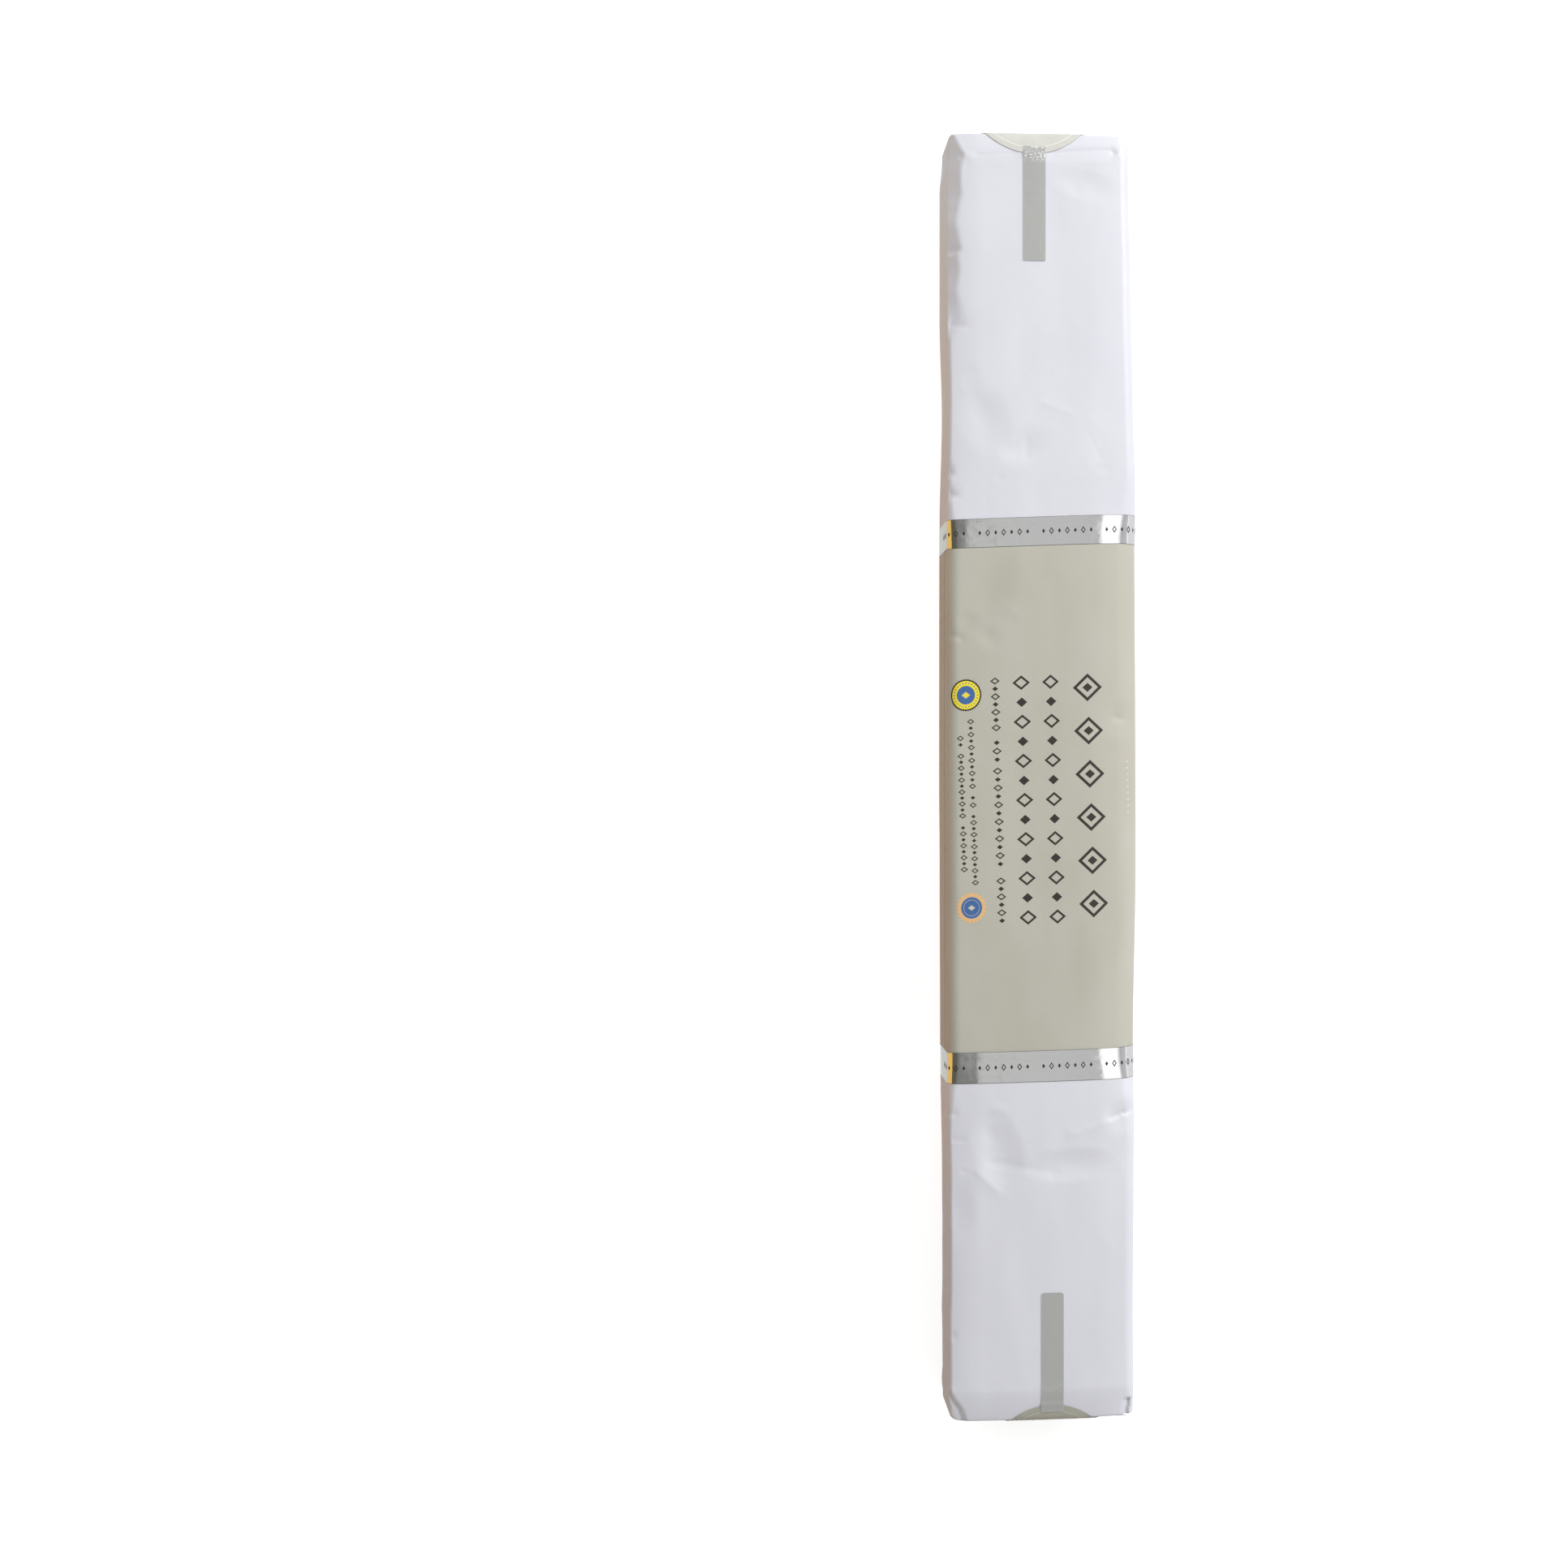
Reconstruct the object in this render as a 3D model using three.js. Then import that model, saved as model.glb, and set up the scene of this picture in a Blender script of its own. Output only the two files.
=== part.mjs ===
// A long shut paper packet of dry spaghetti, lying on its back.
// Millimetres. X runs across the packet, Y along it towards the head end, and Z up from the table.
// The origin is under the middle of the packet, on the table.

import * as THREE from 'three';

// The whole packet
const frontHeight = 42;
const crown = 0.7;
const sideLean = THREE.MathUtils.degToRad(1.5);

// The widths, read along the packet: how far the skin reaches to the left and to the right of the long axis.
const girths = [
  { along: -259, left: -35.1, right: 38.3 },
  { along: -245, left: -36.8, right: 38.3 },
  { along: -218, left: -38.15, right: 38.0 },
  { along: -166, left: -38.8, right: 38.35 },
  { along: -113, left: -39.5, right: 38.7 },
  { along: -34, left: -39.7, right: 39.9 },
  { along: 0, left: -39.9, right: 39.8 },
  { along: 105, left: -39.85, right: 39.35 },
  { along: 151, left: -38.9, right: 38.0 },
  { along: 191, left: -39.85, right: 37.05 },
  { along: 243, left: -39.85, right: 36.05 },
  { along: 259.3, left: -38.1, right: 35.9 },
];

// The rounding of the four long edges
const edgeRadius = { frontLeft: 6, frontRight: 9, backRight: 8, backLeft: 8 };

// The ends. The front and the back slope in over the last stretch, to the rim of the flat end face.
const head = { toward: 1, rimAt: 259.3, slopeLength: 9.1, slopeDrop: 2.5, slant: -0.018, planRadius: 2 };
const foot = { toward: -1, rimAt: -259, slopeLength: 12.9, slopeDrop: 2.5, slant: 0.036, planRadius: 2 };
const rimRounding = 1.2;
const endHollow = 0.8;

// The label and the two foil bands go all round the packet, with their edges a little aslant.
const bandSlant = 0.032;
const headFoil = { from: 93.1, to: 104.7 };
const footFoil = { from: -122.4, to: -109.9 };
const bandThickness = 0.4;
const touchGap = 0.3;
const bandProud = 0.2;
const bandEase = 2;

// The seals: a round disc over each end, and a strip on the front and the back that runs out of it.
const sealThickness = 0.35;
const discRadius = 25;
const headSeal = { across: -3.9, discHeight: 23.4, stripAcross: -3.7 };
const footSeal = { across: 3.6, discHeight: 21.6, stripAcross: 3.6 };
const sealLineReach = 100;
const stripWidth = 8.9;
const stripEndAt = 207.4;

// Soft hollows that the paper shows where it spans the loose bundle.
const hollows = [
  { across: -37, along: 254, halfAcross: 8, halfAlong: 16, turn: 12, depth: 2.2 },
  { across: 17, along: 238, halfAcross: 16, halfAlong: 7, turn: -15, depth: 0.5 },
  { across: -24, along: 144, halfAcross: 12, halfAlong: 17, turn: 20, depth: 0.7 },
  { across: -7, along: 133, halfAcross: 13, halfAlong: 9, turn: 25, depth: 0.5 },
  { across: -23, along: 70, halfAcross: 11, halfAlong: 24, turn: -25, depth: 0.6 },
  { across: 32, along: 23, halfAcross: 9, halfAlong: 10, turn: 0, depth: 0.5 },
  { across: -18, along: -150, halfAcross: 11, halfAlong: 20, turn: 15, depth: 0.9 },
  { across: 11, along: -156, halfAcross: 19, halfAlong: 8, turn: 5, depth: 0.9 },
  { across: 33, along: -137, halfAcross: 10, halfAlong: 8, turn: 20, depth: 0.8 },
  { across: -34, along: -175, halfAcross: 8, halfAlong: 16, turn: 0, depth: 0.7 },
  { across: -34, along: -256, halfAcross: 11, halfAlong: 16, turn: -35, depth: 2.6 },
  { across: 36, along: -254, halfAcross: 9, halfAlong: 10, turn: 30, depth: 1.2 },
];

// The hollows fade down the sides, between these shares of the height.
const hollowFrom = 0.5;
const hollowFull = 0.95;

// How finely the pieces are divided.
const stepsAcross = 10;
const stepsDown = 4;
const stepsPerEdge = 4;
const discColumns = 8;
const discRowSpacing = 4;
const discRowReach = 0.98;
const stripColumns = 2;
const stripRowSpacing = 12;

const finishes = {
  paper: { color: 0xe4e4ea, roughness: 0.62, metalness: 0 },
  label: { color: 0xbfbbad, roughness: 0.6, metalness: 0 },
  foil: { color: 0xc4c4c6, roughness: 0.12, metalness: 1 },
  disc: { color: 0xd6d5c9, roughness: 0.6, metalness: 0 },
  strip: { color: 0xafb0ac, roughness: 0.4, metalness: 0.35 },
};

const { lerp, smoothstep, degToRad } = THREE.MathUtils;

// The reach to the left and right at one place along the packet, eased from one width to the next.
function girthAt(along) {
  const last = girths.length - 2;
  const after = girths.findIndex((girth) => girth.along > along);
  const index = after < 0 ? last : Math.min(Math.max(after - 1, 0), last);
  const below = girths[index];
  const above = girths[index + 1];
  const share = smoothstep(along, below.along, above.along);
  return { left: lerp(below.left, above.left, share), right: lerp(below.right, above.right, share) };
}

// How far along a point at this place across is moved by the slant of the folds and bands.
function slantAt(along) {
  if (along > headFoil.to) {
    return lerp(bandSlant, head.slant, smoothstep(along, headFoil.to, head.rimAt));
  }
  return lerp(foot.slant, bandSlant, smoothstep(along, foot.rimAt, footFoil.from));
}

// The distance from the nearer end, and which end that is.
function nearerEnd(along) {
  const end = along > 0 ? head : foot;
  return { end, fromRim: Math.max((end.rimAt - along) * end.toward, 0) };
}

// How much the front and the back have sloped in, so near the end.
function slopeIn(along) {
  const { end, fromRim } = nearerEnd(along);
  const slope = end.slopeDrop * Math.max(1 - fromRim / end.slopeLength, 0);
  return slope + roundOff(fromRim, rimRounding);
}

// How far a rounded edge falls short of a sharp one, at a distance from its end.
function roundOff(fromEnd, radius) {
  if (fromEnd >= radius) {
    return 0;
  }
  return radius - Math.sqrt(radius * radius - (radius - fromEnd) ** 2);
}

// The depth of the soft hollows at one place on the front.
function hollowDepth(across, along) {
  let depth = 0;
  for (const hollow of hollows) {
    const turn = degToRad(hollow.turn);
    const dx = across - hollow.across;
    const dy = along - hollow.along;
    const u = (dx * Math.cos(turn) + dy * Math.sin(turn)) / hollow.halfAcross;
    const v = (dy * Math.cos(turn) - dx * Math.sin(turn)) / hollow.halfAlong;
    const left = Math.max(1 - u * u - v * v, 0);
    depth += hollow.depth * left * left;
  }
  return depth;
}

// The two long edges that each wall of the section runs between, clockwise as seen from the foot.
const edgesOf = {
  front: ['frontLeft', 'frontRight'],
  right: ['frontRight', 'backRight'],
  back: ['backRight', 'backLeft'],
  left: ['backLeft', 'frontLeft'],
};

// The stations round the section, clockwise as seen from the foot: the front from left to right,
// the right side downwards, the back, and the left side upwards, with the long edges between them.
function stationsRound() {
  const stations = [];
  for (const [wall, [, edge]] of Object.entries(edgesOf)) {
    const steps = wall === 'front' || wall === 'back' ? stepsAcross : stepsDown;
    for (let step = 0; step < steps; step += 1) {
      stations.push({ wall, share: step / steps });
    }
    for (let step = 0; step < stepsPerEdge; step += 1) {
      stations.push({ edge, share: step / stepsPerEdge });
    }
  }
  return stations;
}

const stations = stationsRound();

// The four walls of the section at one place along, set in from the outer skin.
function wallsAt(along, inset, underInset) {
  const girth = girthAt(along);
  const { end, fromRim } = nearerEnd(along);
  const sideIn = inset + roundOff(fromRim, end.planRadius);
  const slope = slopeIn(along);
  return {
    left: girth.left + sideIn,
    right: girth.right - sideIn,
    top: frontHeight - crown - inset - slope,
    bottom: underInset + slope,
    inset,
  };
}

// A point of the section at a station, as seen from the foot with the front up.
function sectionPoint({ wall, edge, share }, { left, right, top, bottom, inset }) {
  const r = edgeRadius[edge] - inset;
  const [fromEdge, toEdge] = edgesOf[wall] ?? [];
  const from = edgeRadius[fromEdge] - inset;
  const to = edgeRadius[toEdge] - inset;
  const swing = (share * Math.PI) / 2;
  const out = r * Math.sin(swing);
  const up = r * Math.cos(swing);
  switch (wall ?? edge) {
    case 'front':
      return [lerp(left + from, right - to, share), top + crown * (1 - (2 * share - 1) ** 2)];
    case 'frontRight':
      return [right - r + out, top - r + up];
    case 'right':
      return [right, lerp(top - from, bottom + to, share)];
    case 'backRight':
      return [right - r + up, bottom + r - out];
    case 'back':
      return [lerp(right - from, left + to, share), bottom];
    case 'backLeft':
      return [left + r - out, bottom + r - up];
    case 'left':
      return [left, lerp(bottom + from, top - to, share)];
    default:
      return [left + r - up, top - r + out];
  }
}

// A point of the packet's skin: the section leaned, hollowed and slanted.
function skinPoint(station, along, inset, underInset = inset) {
  const walls = wallsAt(along, inset, underInset);
  const [across, height] = sectionPoint(station, walls);
  const reach = across < 0 ? -walls.left : walls.right;
  const x = across - (across / reach) * Math.tan(sideLean) * height;
  const towardFront = smoothstep(height / frontHeight, hollowFrom, hollowFull);
  const z = height - hollowDepth(x, along) * towardFront;
  return new THREE.Vector3(x, along + slantAt(along) * x, z);
}

// Rows along the packet: each stretch is divided evenly.
function rowsAlong(stretches) {
  const rows = [stretches[0].from];
  for (const { from, to, steps } of stretches) {
    for (let step = 1; step <= steps; step += 1) {
      rows.push(lerp(from, to, step / steps));
    }
  }
  return rows;
}

const labelStretch = { from: footFoil.to, to: headFoil.from, steps: 14 };
const footFoilStretch = { from: footFoil.from, to: footFoil.to, steps: 1 };
const headFoilStretch = { from: headFoil.from, to: headFoil.to, steps: 1 };

// Lays a turned profile round the packet. place(column, row) gives the point of a station and a profile row.
function wrapRound(rowCount, place) {
  const profile = Array.from({ length: rowCount }, (_, row) => new THREE.Vector2(1, row));
  const geometry = new THREE.LatheGeometry(profile, stations.length);
  const { position } = geometry.attributes;
  for (let index = 0; index < position.count; index += 1) {
    const station = stations[Math.floor(index / rowCount) % stations.length];
    const point = place(station, index % rowCount);
    position.setXYZ(index, point.x, point.y, point.z);
  }
  geometry.computeVertexNormals();
  return geometry;
}

// How far the wrapper is set in under the bands.
function wrapperInset(along) {
  const into = smoothstep(along, footFoil.from - touchGap - bandEase, footFoil.from - touchGap);
  const outOf = smoothstep(along, headFoil.to + touchGap, headFoil.to + touchGap + bandEase);
  return lerp(bandProud, bandThickness + touchGap, into - outOf);
}

// The white paper with the bundle inside, shut at both ends.
function wrapper() {
  const underInset = bandThickness + touchGap;
  const footRows = rowsAlong([
    { from: foot.rimAt, to: foot.rimAt + rimRounding, steps: 2 },
    { from: foot.rimAt + rimRounding, to: foot.rimAt + foot.slopeLength, steps: 3 },
    { from: foot.rimAt + foot.slopeLength, to: footFoil.from - touchGap - bandEase, steps: 14 },
    { from: footFoil.from - touchGap - bandEase, to: footFoil.from - touchGap, steps: 1 },
  ]);
  const bandRows = rowsAlong([footFoilStretch, labelStretch, headFoilStretch]);
  const headRows = rowsAlong([
    { from: headFoil.to + touchGap, to: headFoil.to + touchGap + bandEase, steps: 1 },
    { from: headFoil.to + touchGap + bandEase, to: head.rimAt - head.slopeLength, steps: 14 },
    { from: head.rimAt - head.slopeLength, to: head.rimAt - rimRounding, steps: 3 },
    { from: head.rimAt - rimRounding, to: head.rimAt, steps: 2 },
  ]);
  const rows = [...footRows, ...bandRows, ...headRows].map((along) => ({ along, share: 1 }));
  const faceShares = [0, 0.5];
  const footFace = faceShares.map((share) => ({ along: foot.rimAt, share }));
  const headFace = faceShares.map((share) => ({ along: head.rimAt, share })).reverse();
  const profile = [...footFace, ...rows, ...headFace];
  return wrapRound(profile.length, (station, row) => {
    const { along, share } = profile[row];
    const point = skinPoint(station, along, wrapperInset(along), underInset);
    if (share < 1) {
      const { end } = nearerEnd(along);
      const centre = new THREE.Vector3(0, end.rimAt, frontHeight / 2);
      point.lerp(centre, 1 - share);
      point.y = end.rimAt + end.slant * point.x - end.toward * endHollow * (1 - share);
    }
    return point;
  });
}

// A paper or foil band round the packet. It stops a little short of its stretch, clear of the next band.
function band(stretch, shortAtFoot, shortAtHead) {
  const rows = rowsAlong([stretch]);
  rows[0] += shortAtFoot;
  rows[rows.length - 1] -= shortAtHead;
  const profile = [...rows, ...[...rows].reverse(), rows[0]];
  return wrapRound(profile.length, (station, row) => {
    const outside = row < rows.length || row === profile.length - 1;
    return skinPoint(station, profile[row], outside ? 0 : bandThickness);
  });
}

// The line that the seals follow, as places by their distance short of the rim and their height: along the
// back, up over the end face and back along the front. Lifted, every stretch of it is clear by the lift.
function sealLine(end, lift) {
  const under = bandThickness + touchGap;
  const front = frontHeight - bandProud;
  const corners = [
    new THREE.Vector2(sealLineReach, under),
    new THREE.Vector2(end.slopeLength, under),
    new THREE.Vector2(0, under + end.slopeDrop),
    new THREE.Vector2(0, front - end.slopeDrop),
    new THREE.Vector2(end.slopeLength, front),
    new THREE.Vector2(sealLineReach, front),
  ];
  const outwards = corners.slice(1).map((corner, index) => {
    const way = corner.clone().sub(corners[index]).normalize();
    return new THREE.Vector2(-way.y, way.x);
  });
  return corners.map((corner, index) => {
    const before = outwards[Math.max(index - 1, 0)];
    const after = outwards[Math.min(index, outwards.length - 1)];
    const middle = before.clone().add(after).normalize();
    return corner.clone().addScaledVector(middle, lift / middle.dot(after));
  });
}

// The run of each corner of that line, measured from the height of the disc's middle on the end face.
function cornerRuns(end, discHeight) {
  const corners = sealLine(end, 0);
  const runs = [0];
  for (let index = 1; index < corners.length; index += 1) {
    runs.push(runs[index - 1] + corners[index].distanceTo(corners[index - 1]));
  }
  const start = runs[2] + discHeight - corners[2].y;
  return runs.map((run) => run - start);
}

// The rows of a seal from one run to another, with one row at each fold between them.
function sealRows(end, discHeight, from, to, spacing) {
  const folds = cornerRuns(end, discHeight).filter((run) => run > from && run < to);
  const marks = [from, ...folds, to];
  const stretches = marks.slice(1).map((mark, index) => {
    const steps = Math.ceil((mark - marks[index]) / spacing);
    return { from: marks[index], to: mark, steps };
  });
  return rowsAlong(stretches);
}

// A thin seal laid over an end, between two runs, as wide at each row as halfWidth says.
function seal(end, { discHeight, across }, rows, columns, halfWidth) {
  const runs = cornerRuns(end, discHeight);
  const lines = [touchGap, touchGap + sealThickness].map((lift) => sealLine(end, lift));
  const geometry = new THREE.BoxGeometry(2, 1, 1, columns, rows.length - 1, 1);
  const { position } = geometry.attributes;
  const lastRow = rows.length - 1;
  for (let index = 0; index < position.count; index += 1) {
    const row = Math.round((position.getY(index) + 0.5) * lastRow);
    const run = rows[row];
    const after = Math.min(Math.max(runs.findIndex((mark) => mark > run), 1), runs.length - 1);
    const share = (run - runs[after - 1]) / (runs[after] - runs[after - 1]);
    const line = lines[position.getZ(index) > 0 ? 1 : 0];
    const place = line[after - 1].clone().lerp(line[after], share);
    const x = across - end.toward * position.getX(index) * halfWidth(run);
    const y = end.rimAt + end.slant * x - end.toward * place.x;
    position.setXYZ(index, x, y, place.y);
  }
  geometry.computeVertexNormals();
  return geometry;
}

// The round paper disc that shuts an end, folded over the rims.
function disc(end, settings) {
  const reach = discRadius * discRowReach;
  const rows = sealRows(end, settings.discHeight, -reach, reach, discRowSpacing);
  return seal(end, settings, rows, discColumns, (run) => Math.sqrt(discRadius ** 2 - run ** 2));
}

// A strip on the front (way 1) or the back (way -1), from the edge of the disc to its square end.
function strip(end, { discHeight, stripAcross }, way) {
  const runs = cornerRuns(end, discHeight);
  const crease = way > 0 ? runs.at(-2) : runs[1];
  const fromDisc = way * (discRadius + touchGap);
  const toEnd = crease + way * (Math.abs(end.rimAt) - end.slopeLength - stripEndAt);
  const [from, to] = [fromDisc, toEnd].sort((a, b) => a - b);
  const rows = sealRows(end, discHeight, from, to, stripRowSpacing);
  return seal(end, { discHeight, across: stripAcross }, rows, stripColumns, () => stripWidth / 2);
}

const group = new THREE.Group();

function addPiece(name, geometry, finish) {
  const mesh = new THREE.Mesh(geometry, new THREE.MeshStandardMaterial(finishes[finish]));
  mesh.name = name;
  group.add(mesh);
}

addPiece('wrapper', wrapper(), 'paper');
addPiece('label', band(labelStretch, 0, touchGap), 'label');
addPiece('foil_band_head', band(headFoilStretch, touchGap, 0), 'foil');
addPiece('foil_band_foot', band(footFoilStretch, 0, 0), 'foil');

const ends = [
  { name: 'head', end: head, settings: headSeal },
  { name: 'foot', end: foot, settings: footSeal },
];
for (const { name, end, settings } of ends) {
  addPiece(`seal_disc_${name}`, disc(end, settings), 'disc');
  addPiece(`seal_strip_${name}_front`, strip(end, settings, 1), 'strip');
  addPiece(`seal_strip_${name}_back`, strip(end, settings, -1), 'strip');
}

export default group;
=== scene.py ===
"""A long shut paper packet of dry spaghetti on its back: paper, label, foil bands and end seals.

The tables are in millimetres and the finished pieces in metres. X runs across the packet, Y along it
towards the head end, and Z up from the floor. Places on the paper are given in plan, as seen from above.
"""

import bisect
import math
from collections import namedtuple

import bmesh
import bpy
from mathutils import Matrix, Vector, noise


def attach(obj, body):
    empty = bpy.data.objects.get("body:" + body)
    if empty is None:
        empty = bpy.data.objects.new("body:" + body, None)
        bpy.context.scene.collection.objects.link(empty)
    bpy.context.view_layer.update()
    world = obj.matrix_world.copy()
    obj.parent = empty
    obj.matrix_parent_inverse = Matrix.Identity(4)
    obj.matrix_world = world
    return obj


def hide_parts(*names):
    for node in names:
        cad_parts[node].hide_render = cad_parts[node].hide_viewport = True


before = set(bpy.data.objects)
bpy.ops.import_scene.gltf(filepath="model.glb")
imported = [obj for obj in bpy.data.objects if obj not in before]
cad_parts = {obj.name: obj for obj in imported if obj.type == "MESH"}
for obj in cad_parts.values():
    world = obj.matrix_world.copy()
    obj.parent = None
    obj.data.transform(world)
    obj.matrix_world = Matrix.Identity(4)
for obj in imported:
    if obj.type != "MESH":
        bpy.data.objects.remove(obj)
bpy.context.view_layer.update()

MM = 0.001

# ---- The packet's form, as the CAD model has it ----

FRONT_HEIGHT = 42.0
CROWN = 0.7
LEAN = math.tan(math.radians(1.5))

# Place along the packet, and how far the skin reaches to the left and right there
GIRTHS = [
    (-259.0, -35.1, 38.3),
    (-245.0, -36.8, 38.3),
    (-218.0, -38.15, 38.0),
    (-166.0, -38.8, 38.35),
    (-113.0, -39.5, 38.7),
    (-34.0, -39.7, 39.9),
    (0.0, -39.9, 39.8),
    (105.0, -39.85, 39.35),
    (151.0, -38.9, 38.0),
    (191.0, -39.85, 37.05),
    (243.0, -39.85, 36.05),
    (259.3, -38.1, 35.9),
]

# How round the long edges are, and how round the front's two are where the paper is bare
EDGE_RADIUS = {"front_left": 5.2, "front_right": 9.0, "back_right": 8.0, "back_left": 8.0}
BARE_RADIUS = {"front_left": 1.5, "front_right": 4.5}
EDGES_OF = {
    "front": ("front_left", "front_right"),
    "right": ("front_right", "back_right"),
    "back": ("back_right", "back_left"),
    "left": ("back_left", "front_left"),
}

# An end: which way it faces, its rim, the slope up to the rim, the corner rounding in plan, and its seals
End = namedtuple(
    "End",
    "name toward rim_at slope_length slant left_corner right_corner disc_across disc_height strip_across",
)
HEAD = End("head", 1, 259.3, 9.1, -0.018, 2.0, 2.0, -3.9, 23.4, -3.7)
FOOT = End("foot", -1, -259.0, 12.9, 0.036, 4.4, 0.8, 3.6, 20.8, 3.6)
SLOPE_DROP = 2.5
SLOPE_CURVE = 1.4
RIM_ROUNDING = 0.9

# The end face is drawn in a little at its middle, and its paper turns in at the rim.
END_HOLLOW = 0.8
PAPER_TURN = 0.1

# A seal disc, and the ring line on it
DISC_RADIUS = 25.0
RING_RADIUS = 22.4

# How far the bands slant along the packet for each millimetre across, and where they begin and end
BAND_SLANT = 0.032
HEAD_FOIL = (93.1, 104.7)
FOOT_FOIL = (-122.4, -109.9)
BARE_FROM_FOIL = 20.0

# How deep each sheet lies under the CAD model's outer skin
BARE_PAPER_INSET = 0.2
COVERED_PAPER_INSET = 1.6
PAPER_UNDERSIDE = 0.5
LABEL_INSET = 0.12
LABEL_END_INSET = 0.3
FOIL_INSET = 0.0
FOIL_UNDERSIDE = 0.02

# The paper sinks from its bare depth to its covered one between these distances under the foil's edge.
COVER_FROM = 1.0
COVER_EASE = 5.0

# ---- Where the left wall leaves its plain form ----

# Towards the ends it bulges: the place along the packet, and how far it is pushed out. The bulge comes in
# over a stretch of height above the floor, and over a stretch to the left of the long axis.
LEFT_BULGE = [
    (-260.0, 4.2),
    (-252.0, 3.0),
    (-243.0, 2.0),
    (-222.0, 0.9),
    (-200.0, 0.4),
    (-180.0, 0.0),
    (248.0, 0.0),
    (260.0, 1.0),
]
BULGE_HEIGHTS = (-6.0, 12.0)
BULGE_ACROSS = (18.0, 33.0)

# Towards the head its long edge is crushed to facets, each ending in a pinch. A row gives the place along
# the packet, the place across of the facet's upper fold, and the height that the facet reaches down to.
LEFT_CRUSH = [
    (112.6, -37.6, 39.5),
    (113.4, -35.6, 38.6),
    (121.8, -37.6, 39.5),
    (122.5, -36.2, 38.6),
    (130.0, -37.6, 39.5),
    (176.0, -37.6, 39.5),
    (181.8, -33.0, 39.0),
    (188.0, -33.6, 38.2),
    (196.0, -35.2, 38.0),
    (204.0, -34.1, 36.4),
    (210.8, -34.8, 37.2),
    (211.6, -33.4, 36.0),
    (216.0, -34.2, 36.8),
    (223.0, -35.4, 38.2),
    (229.0, -34.6, 37.2),
    (234.0, -33.4, 35.8),
    (243.0, -34.0, 35.0),
    (250.3, -33.2, 34.2),
    (256.3, -35.2, 34.4),
    (261.0, -37.5, 35.0),
]
CRUSH_FOLD_HEIGHT = 41.3
CRUSH_SIDE = -39.5
CRUSH_SOFTNESS = 0.8

# ---- Soft hollows and folds in the paper ----

# Place across and along, half sizes across and along, turn in degrees and depth
HOLLOWS = [
    (17, 238, 16, 7, -15, 0.4),
    (-24, 144, 12, 17, 20, 0.7),
    (-7, 133, 13, 9, 25, 0.5),
    (-23, 70, 11, 24, -25, 0.6),
    (32, 23, 9, 10, 0, 0.5),
    (-18, -150, 11, 20, 15, 0.9),
    (11, -156, 19, 8, 5, 0.9),
    (33, -137, 10, 8, 20, 0.7),
    (-34, -175, 8, 16, 0, 0.6),
    (36, -254, 9, 10, 30, 0.4),
]

# Smaller dents of the same kind. A negative depth is a swelling.
DENTS = [
    (-33.2, 250.2, 1.5, 2.4, 0, 0.8),
    (-30.4, 250.0, 3.0, 2.2, 10, -0.3),
    (15.6, 237.5, 4.5, 3.4, -20, -0.10),
    (6.2, 226.0, 1.8, 2.6, 0, 0.06),
    (-25.8, 148.0, 6.0, 9.0, 20, 0.2),
    (-29.5, 160.0, 5.0, 8.0, 10, 0.18),
    (-12.5, 131.5, 7.5, 5.0, 10, 0.22),
    (24.5, 123.7, 5.0, 2.4, 0, 0.12),
    (-17.6, 120.1, 3.2, 2.4, 20, 0.12),
    (-18.3, -133.6, 5.0, 3.2, 10, -0.2),
    (-21.7, -143.8, 4.5, 6.0, 10, 0.2),
    (33.0, 254.0, 3.0, 3.0, 0, -0.2),
    (25.0, -187.0, 5.0, 7.0, 0, -0.12),
    (34.0, -155.0, 3.0, 8.0, 0, 0.2),
    (28.3, 251.2, 1.6, 1.2, 0, 0.3),
    (-36.2, -225.2, 2.0, 3.0, 0, 0.3),
    (-31.9, -158.7, 2.2, 1.4, 0, 0.25),
    (-22.0, 56.0, 8.0, 5.0, -40, 0.3),
    (-30.5, 62.0, 6.0, 6.0, 0, 0.3),
    (-12.0, 66.0, 7.0, 4.0, -40, -0.15),
    (10.1, 102.2, 0.8, 0.9, 40, 0.12),
    (6.5, -119.9, 1.0, 0.8, 0, 0.12),
]

# The front falls away towards a long edge: from a distance off the long axis, over a width, by a drop
# under the label and another one on the bare paper.
LEFT_SHOULDER = (24.0, 14.0, 0.2, 1.4)
RIGHT_SHOULDER = (14.0, 14.0, 1.3, 0.6)

# A fold follows a line in plan. Its profile gives the depth by the distance to the right of the line,
# and it fades out over a length at the start and at the end of the line.
Fold = namedtuple("Fold", "line profile fade_in fade_out")


def crease(line, depth, width, fade_in=1.5, fade_out=1.5):
    """A narrow valley, or with a negative depth a ridge."""
    profile = [(-2.2 * width, 0.0), (-0.8 * width, 0.35 * depth), (0.0, depth)]
    mirrored = [(-distance, value) for distance, value in reversed(profile[:-1])]
    return Fold(line, profile + mirrored, fade_in, fade_out)


def pinch(line, depth, run, fade_in=0.8, fade_out=3.0):
    """A step across the paper: it falls slowly to a line from the left and comes up at once on the right."""
    return Fold(line, [(-run, 0.0), (-0.35 * run, 0.35 * depth), (0.0, depth), (0.6, 0.0)], fade_in, fade_out)


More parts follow.
